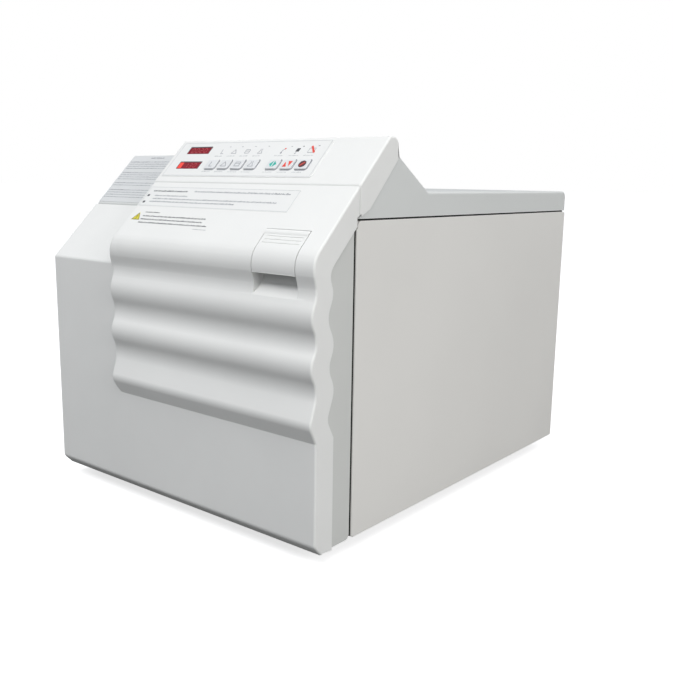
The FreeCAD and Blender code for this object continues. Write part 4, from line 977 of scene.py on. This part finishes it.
KEY_S = 31.5
KEY_WIDTH, KEY_HEIGHT = 17.0, 14.6
PROGRAM_KEYS_X = (-15.8, 6.6, 29.0, 51.4)
ACTION_KEYS = {"start_key": 85.6, "dry_key": 107.7, "stop_key": 129.8}
KEYS_X = (*PROGRAM_KEYS_X, *ACTION_KEYS.values())
PROGRAM_SIGNS_X = (-12.9, 7.8, 29.4, 51.0)
UPPER_ROW_S = 53.6
DISPLAY_X = (-75.5, -36.0)
DISPLAY_HEIGHT = 12.2
DISPLAYS = {"upper": 56.6, "lower": 30.8}
KEY_TOP = 1.62
OVERLAY_TOP = 0.52


def moved(shapes, x, s, scale=1.0):
    return [[(x + px * scale, s + ps * scale) for px, ps in shape] for shape in shapes]


def program_icon(number):
    """Line drawings: hand tool, pouch, pack and flask."""
    if number == 0:
        return stroke([(-1.6, 4.2), (-1.6, -3.6), (3.4, -3.6)], 0.9)
    if number == 1:
        return stroke([(-4.6, -3.4), (0.0, 3.8), (4.6, -3.4), (-4.6, -3.4)], 0.8)
    if number == 2:
        return frame_lines(-3.8, 3.8, -3.2, 3.2, 0.8) + stroke([(-3.8, 0.6), (3.8, 0.6)], 0.6)
    flask = [(-1.3, 4.4), (-1.3, 1.0), (-4.0, -3.6), (4.0, -3.6), (1.3, 1.0), (1.3, 4.4)]
    return stroke(flask, 0.8)


# Signs above the action keys, as (x, s) points on the panel.
STEAM_HOSE = [(84.0, 50.0), (85.4, 54.4), (88.6, 57.6)]
BLACK_FLAG = [(105.4, 52.2), (110.6, 52.2), (111.2, 57.6), (106.2, 57.6)]
FLAG_POLE = [(108.0, 50.8), (106.2, 48.6)]
RED_SLASH = [(126.1, 60.7), (134.4, 50.2)]


def action_signs():
    """Grey and black parts of the signs above the three action keys."""
    grey = stroke(STEAM_HOSE, 0.9) + [round_shape(85.0, 50.4, 1.3)]
    grey += stroke([(94.6, 60.6), (97.0, 60.6)], 0.7) + stroke(FLAG_POLE, 1.2)
    grey += frame_lines(124.6, 133.6, 50.4, 57.4, 0.6)
    black = [BLACK_FLAG, bar(112.2, 114.6, 60.6, 0.9), bar(134.8, 137.2, 61.0, 0.9)]
    return grey, black


def panel_prints():
    top = OVERLAY_TOP
    border = frame_lines(-91.5, 150.0, 13.5, 69.5, 0.4)
    prints("panel_outline", on_panel, top, border, INK["pale"], "cabinet")
    grey, captions = [], []
    for number, x in enumerate(PROGRAM_SIGNS_X):
        grey += moved(program_icon(number), x, UPPER_ROW_S, 0.9)
        grey += stroke([(x + 7.0, UPPER_ROW_S + 8.2), (x + 9.5, UPPER_ROW_S + 8.2)], 0.7)
        captions += words(x - 8.0, x + 4.0, UPPER_ROW_S - 7.5, 1.5, 5.0)
    for x in ACTION_KEYS.values():
        captions += words(x - 8.0, x + 6.0, UPPER_ROW_S - 7.5, 1.4, 5.0)
    for x in KEYS_X:
        captions += words(x - 9.0, x + 5.0, KEY_S - 11.6, 1.4, 6.0)
    signs, black = action_signs()
    prints("panel_icons", on_panel, top, grey + signs, INK["grey"], "cabinet")
    prints("panel_captions", on_panel, top, captions, INK["pale"], "cabinet")
    prints("panel_black_icon", on_panel, top, black, INK["dark"], "cabinet")
    prints("panel_red_slash", on_panel, top + 0.1, stroke(RED_SLASH, 2.6), INK["red"], "cabinet")
    prints("panel_red_dot", on_panel, top + 0.1, [round_shape(88.2, 57.0, 1.1)],
           INK["red"], "cabinet")


def key_painted_shade():
    """Painted shade: a dark line along each key's right and lower sides, where the raised key's
    shadow falls.
    """
    shapes = []
    for x in KEYS_X:
        x0, x1 = x - KEY_WIDTH / 2 - 0.9, x + KEY_WIDTH / 2 + 0.9
        s0, s1 = KEY_S - KEY_HEIGHT / 2 - 0.9, KEY_S + KEY_HEIGHT / 2 + 0.9
        right = [(x1 - 2, s1), (x1 + 0.3, s1 - 2), (x1 + 0.3, s0 + 2), (x1 - 2, s0 - 0.4)]
        lower = [(x1 - 2, s0 - 0.4), (x0 + 2.6, s0 - 0.4)]
        # Painted shade strokes, widest on the right side and along the bottom.
        shapes += stroke(right, 1.4) + stroke(lower, 1.4)
    prints("key_painted_shade", on_panel, OVERLAY_TOP, shapes, INK["grey"], "cabinet")


# Ends of each segment of a figure, in widths and half heights.
SEGMENTS = {"a": ((0, 2), (1, 2)), "b": ((1, 2), (1, 1)), "c": ((1, 1), (1, 0)),
            "d": ((1, 0), (0, 0)), "e": ((0, 0), (0, 1)), "f": ((0, 1), (0, 2)),
            "g": ((0, 1), (1, 1))}
FIGURE_WIDTH, FIGURE_HALF, FIGURE_PITCH = 4.2, 3.4, 7.4
ZERO = "abcdef"
UPPER_FIGURES, LOWER_FIGURES = (ZERO, ZERO, "abged", ZERO), ("bc", "abgcd", ZERO)
LENS_TOP = 0.72


def digits(x0, s, names):
    """Seven-segment figures, one for each string of segment names."""
    shapes = []
    for place, lit in enumerate(names):
        x = x0 + place * FIGURE_PITCH
        for name in lit:
            (ax, ay), (bx, by) = SEGMENTS[name]
            tail = Vector((x + ax * FIGURE_WIDTH, s + (ay - 1) * FIGURE_HALF))
            tip = Vector((x + bx * FIGURE_WIDTH, s + (by - 1) * FIGURE_HALF))
            gap = (tip - tail).normalized() * 0.45
            shapes += stroke([tuple(tail + gap), tuple(tip - gap)], 0.95)
    return shapes


def display_prints():
    """Painted shadow as a black edge along the top and sides of the two red windows, as in a
    recess, and glowing figures on them.
    """
    left, right = DISPLAY_X
    window_shadow_strokes = []
    # Painted shadow of a recess: black strokes, widest along each window's top edge.
    for s in DISPLAYS.values():
        low, high = s - DISPLAY_HEIGHT / 2, s + DISPLAY_HEIGHT / 2
        window_shadow_strokes += stroke([(left + 0.5, low), (left + 0.5, high - 0.6)], 0.9)
        window_shadow_strokes += stroke([(left, high - 0.8), (right, high - 0.8)], 1.6)
        window_shadow_strokes += stroke([(right - 0.4, low), (right - 0.4, high - 1.6)], 0.7)
    prints("display_painted_shadow", on_panel, LENS_TOP, window_shadow_strokes, INK["dark"], "cabinet")
    ghost = digits(left + 6.5, DISPLAYS["upper"] - 0.6, UPPER_FIGURES)
    ghost += digits(left + 13.5, DISPLAYS["lower"] - 0.6, LOWER_FIGURES)
    prints("display_figures", on_panel, LENS_TOP, ghost, LOOK["figures"], "cabinet")
    x, s = left + 1.4, DISPLAYS["lower"]
    glow = [[(x, s - 5.4), (x + 6.8, s - 5.4), (x + 6.8, s + 4.2), (x, s + 4.2)]]
    prints("display_glow", on_panel, LENS_TOP, glow, LOOK["glow"], "cabinet")


# Signs on the action keys, as (x, s) points around the middle of a key.
START_HALVES = [[(-5.4, 0.0), (-0.8, -5.0), (-0.8, 5.0)], [(5.4, 0.0), (0.8, 5.0), (0.8, -5.0)]]
DRY_HALVES = [[(-5.6, -4.4), (0.2, -4.4), (-4.2, 3.6)], [(5.6, 4.4), (-0.2, 4.4), (3.4, -4.0)]]
STOP_MARK = stroke([(-2.6, -2.4), (2.6, 2.4)], 1.4)


def key_print(name, x, shapes, colour, body, height=KEY_TOP):
    prints(name, on_panel, height, moved(shapes, x, KEY_S), INK[colour], body)


def key_prints():
    for number, x in enumerate(PROGRAM_KEYS_X):
        body = "program_key_%d" % (number + 1)
        key_print(body + "_icon", x, program_icon(number), "grey", body)
    key_print("start_key_icon", ACTION_KEYS["start_key"], START_HALVES, "teal", "start_key")
    key_print("dry_key_icon", ACTION_KEYS["dry_key"], DRY_HALVES, "red", "dry_key")
    x = ACTION_KEYS["stop_key"]
    key_print("stop_key_icon", x, [round_shape(0.0, 0.0, 5.4, 8)], "maroon", "stop_key")
    key_print("stop_key_mark", x, STOP_MARK, "red", "stop_key", KEY_TOP + 0.1)


door_prints()
plate_prints()
panel_prints()
key_painted_shade()
display_prints()
key_prints()

# ---------------------------------------------------------------- CAD nodes
ROUNDING = {                    # mm: nodes whose sharp edges are rounded by that much
    0.12: ("keypad_overlay", "information_plate"),
    0.2: ("front_bulkhead", "upper_display_window", "lower_display_window"),
    0.3: ("base_pan", "circuit_breakers", "case_screws", "chamber_saddles", "latch_striker"),
    0.4: ("door_frame", "power_inlet", "fan_frame", "relief_valve", "chamber_flange"),
    0.5: ("side_panel_left", "side_panel_right", "hinge_arms", "door_yoke", "transformer",
          "water_reservoir", "breaker_button_1", "breaker_button_2", "fill_valve", "vent_valve"),
    0.6: ("top_cover", "reservoir_cap", "door_plate"),
    0.8: ("rubber_feet",),
}
ROUNDED_NODES = {name: width for width, names in ROUNDING.items() for name in names}
for name, node in NODES.items():
    for slot in node.material_slots:
        slot.material = LOOK["plate_film" if name == "information_plate" else slot.material.name]
    if name in ROUNDED_NODES:
        join = node.modifiers.new("join", "WELD")
        join.merge_threshold = WELD
        soften(node, ROUNDED_NODES[name], 40.0)
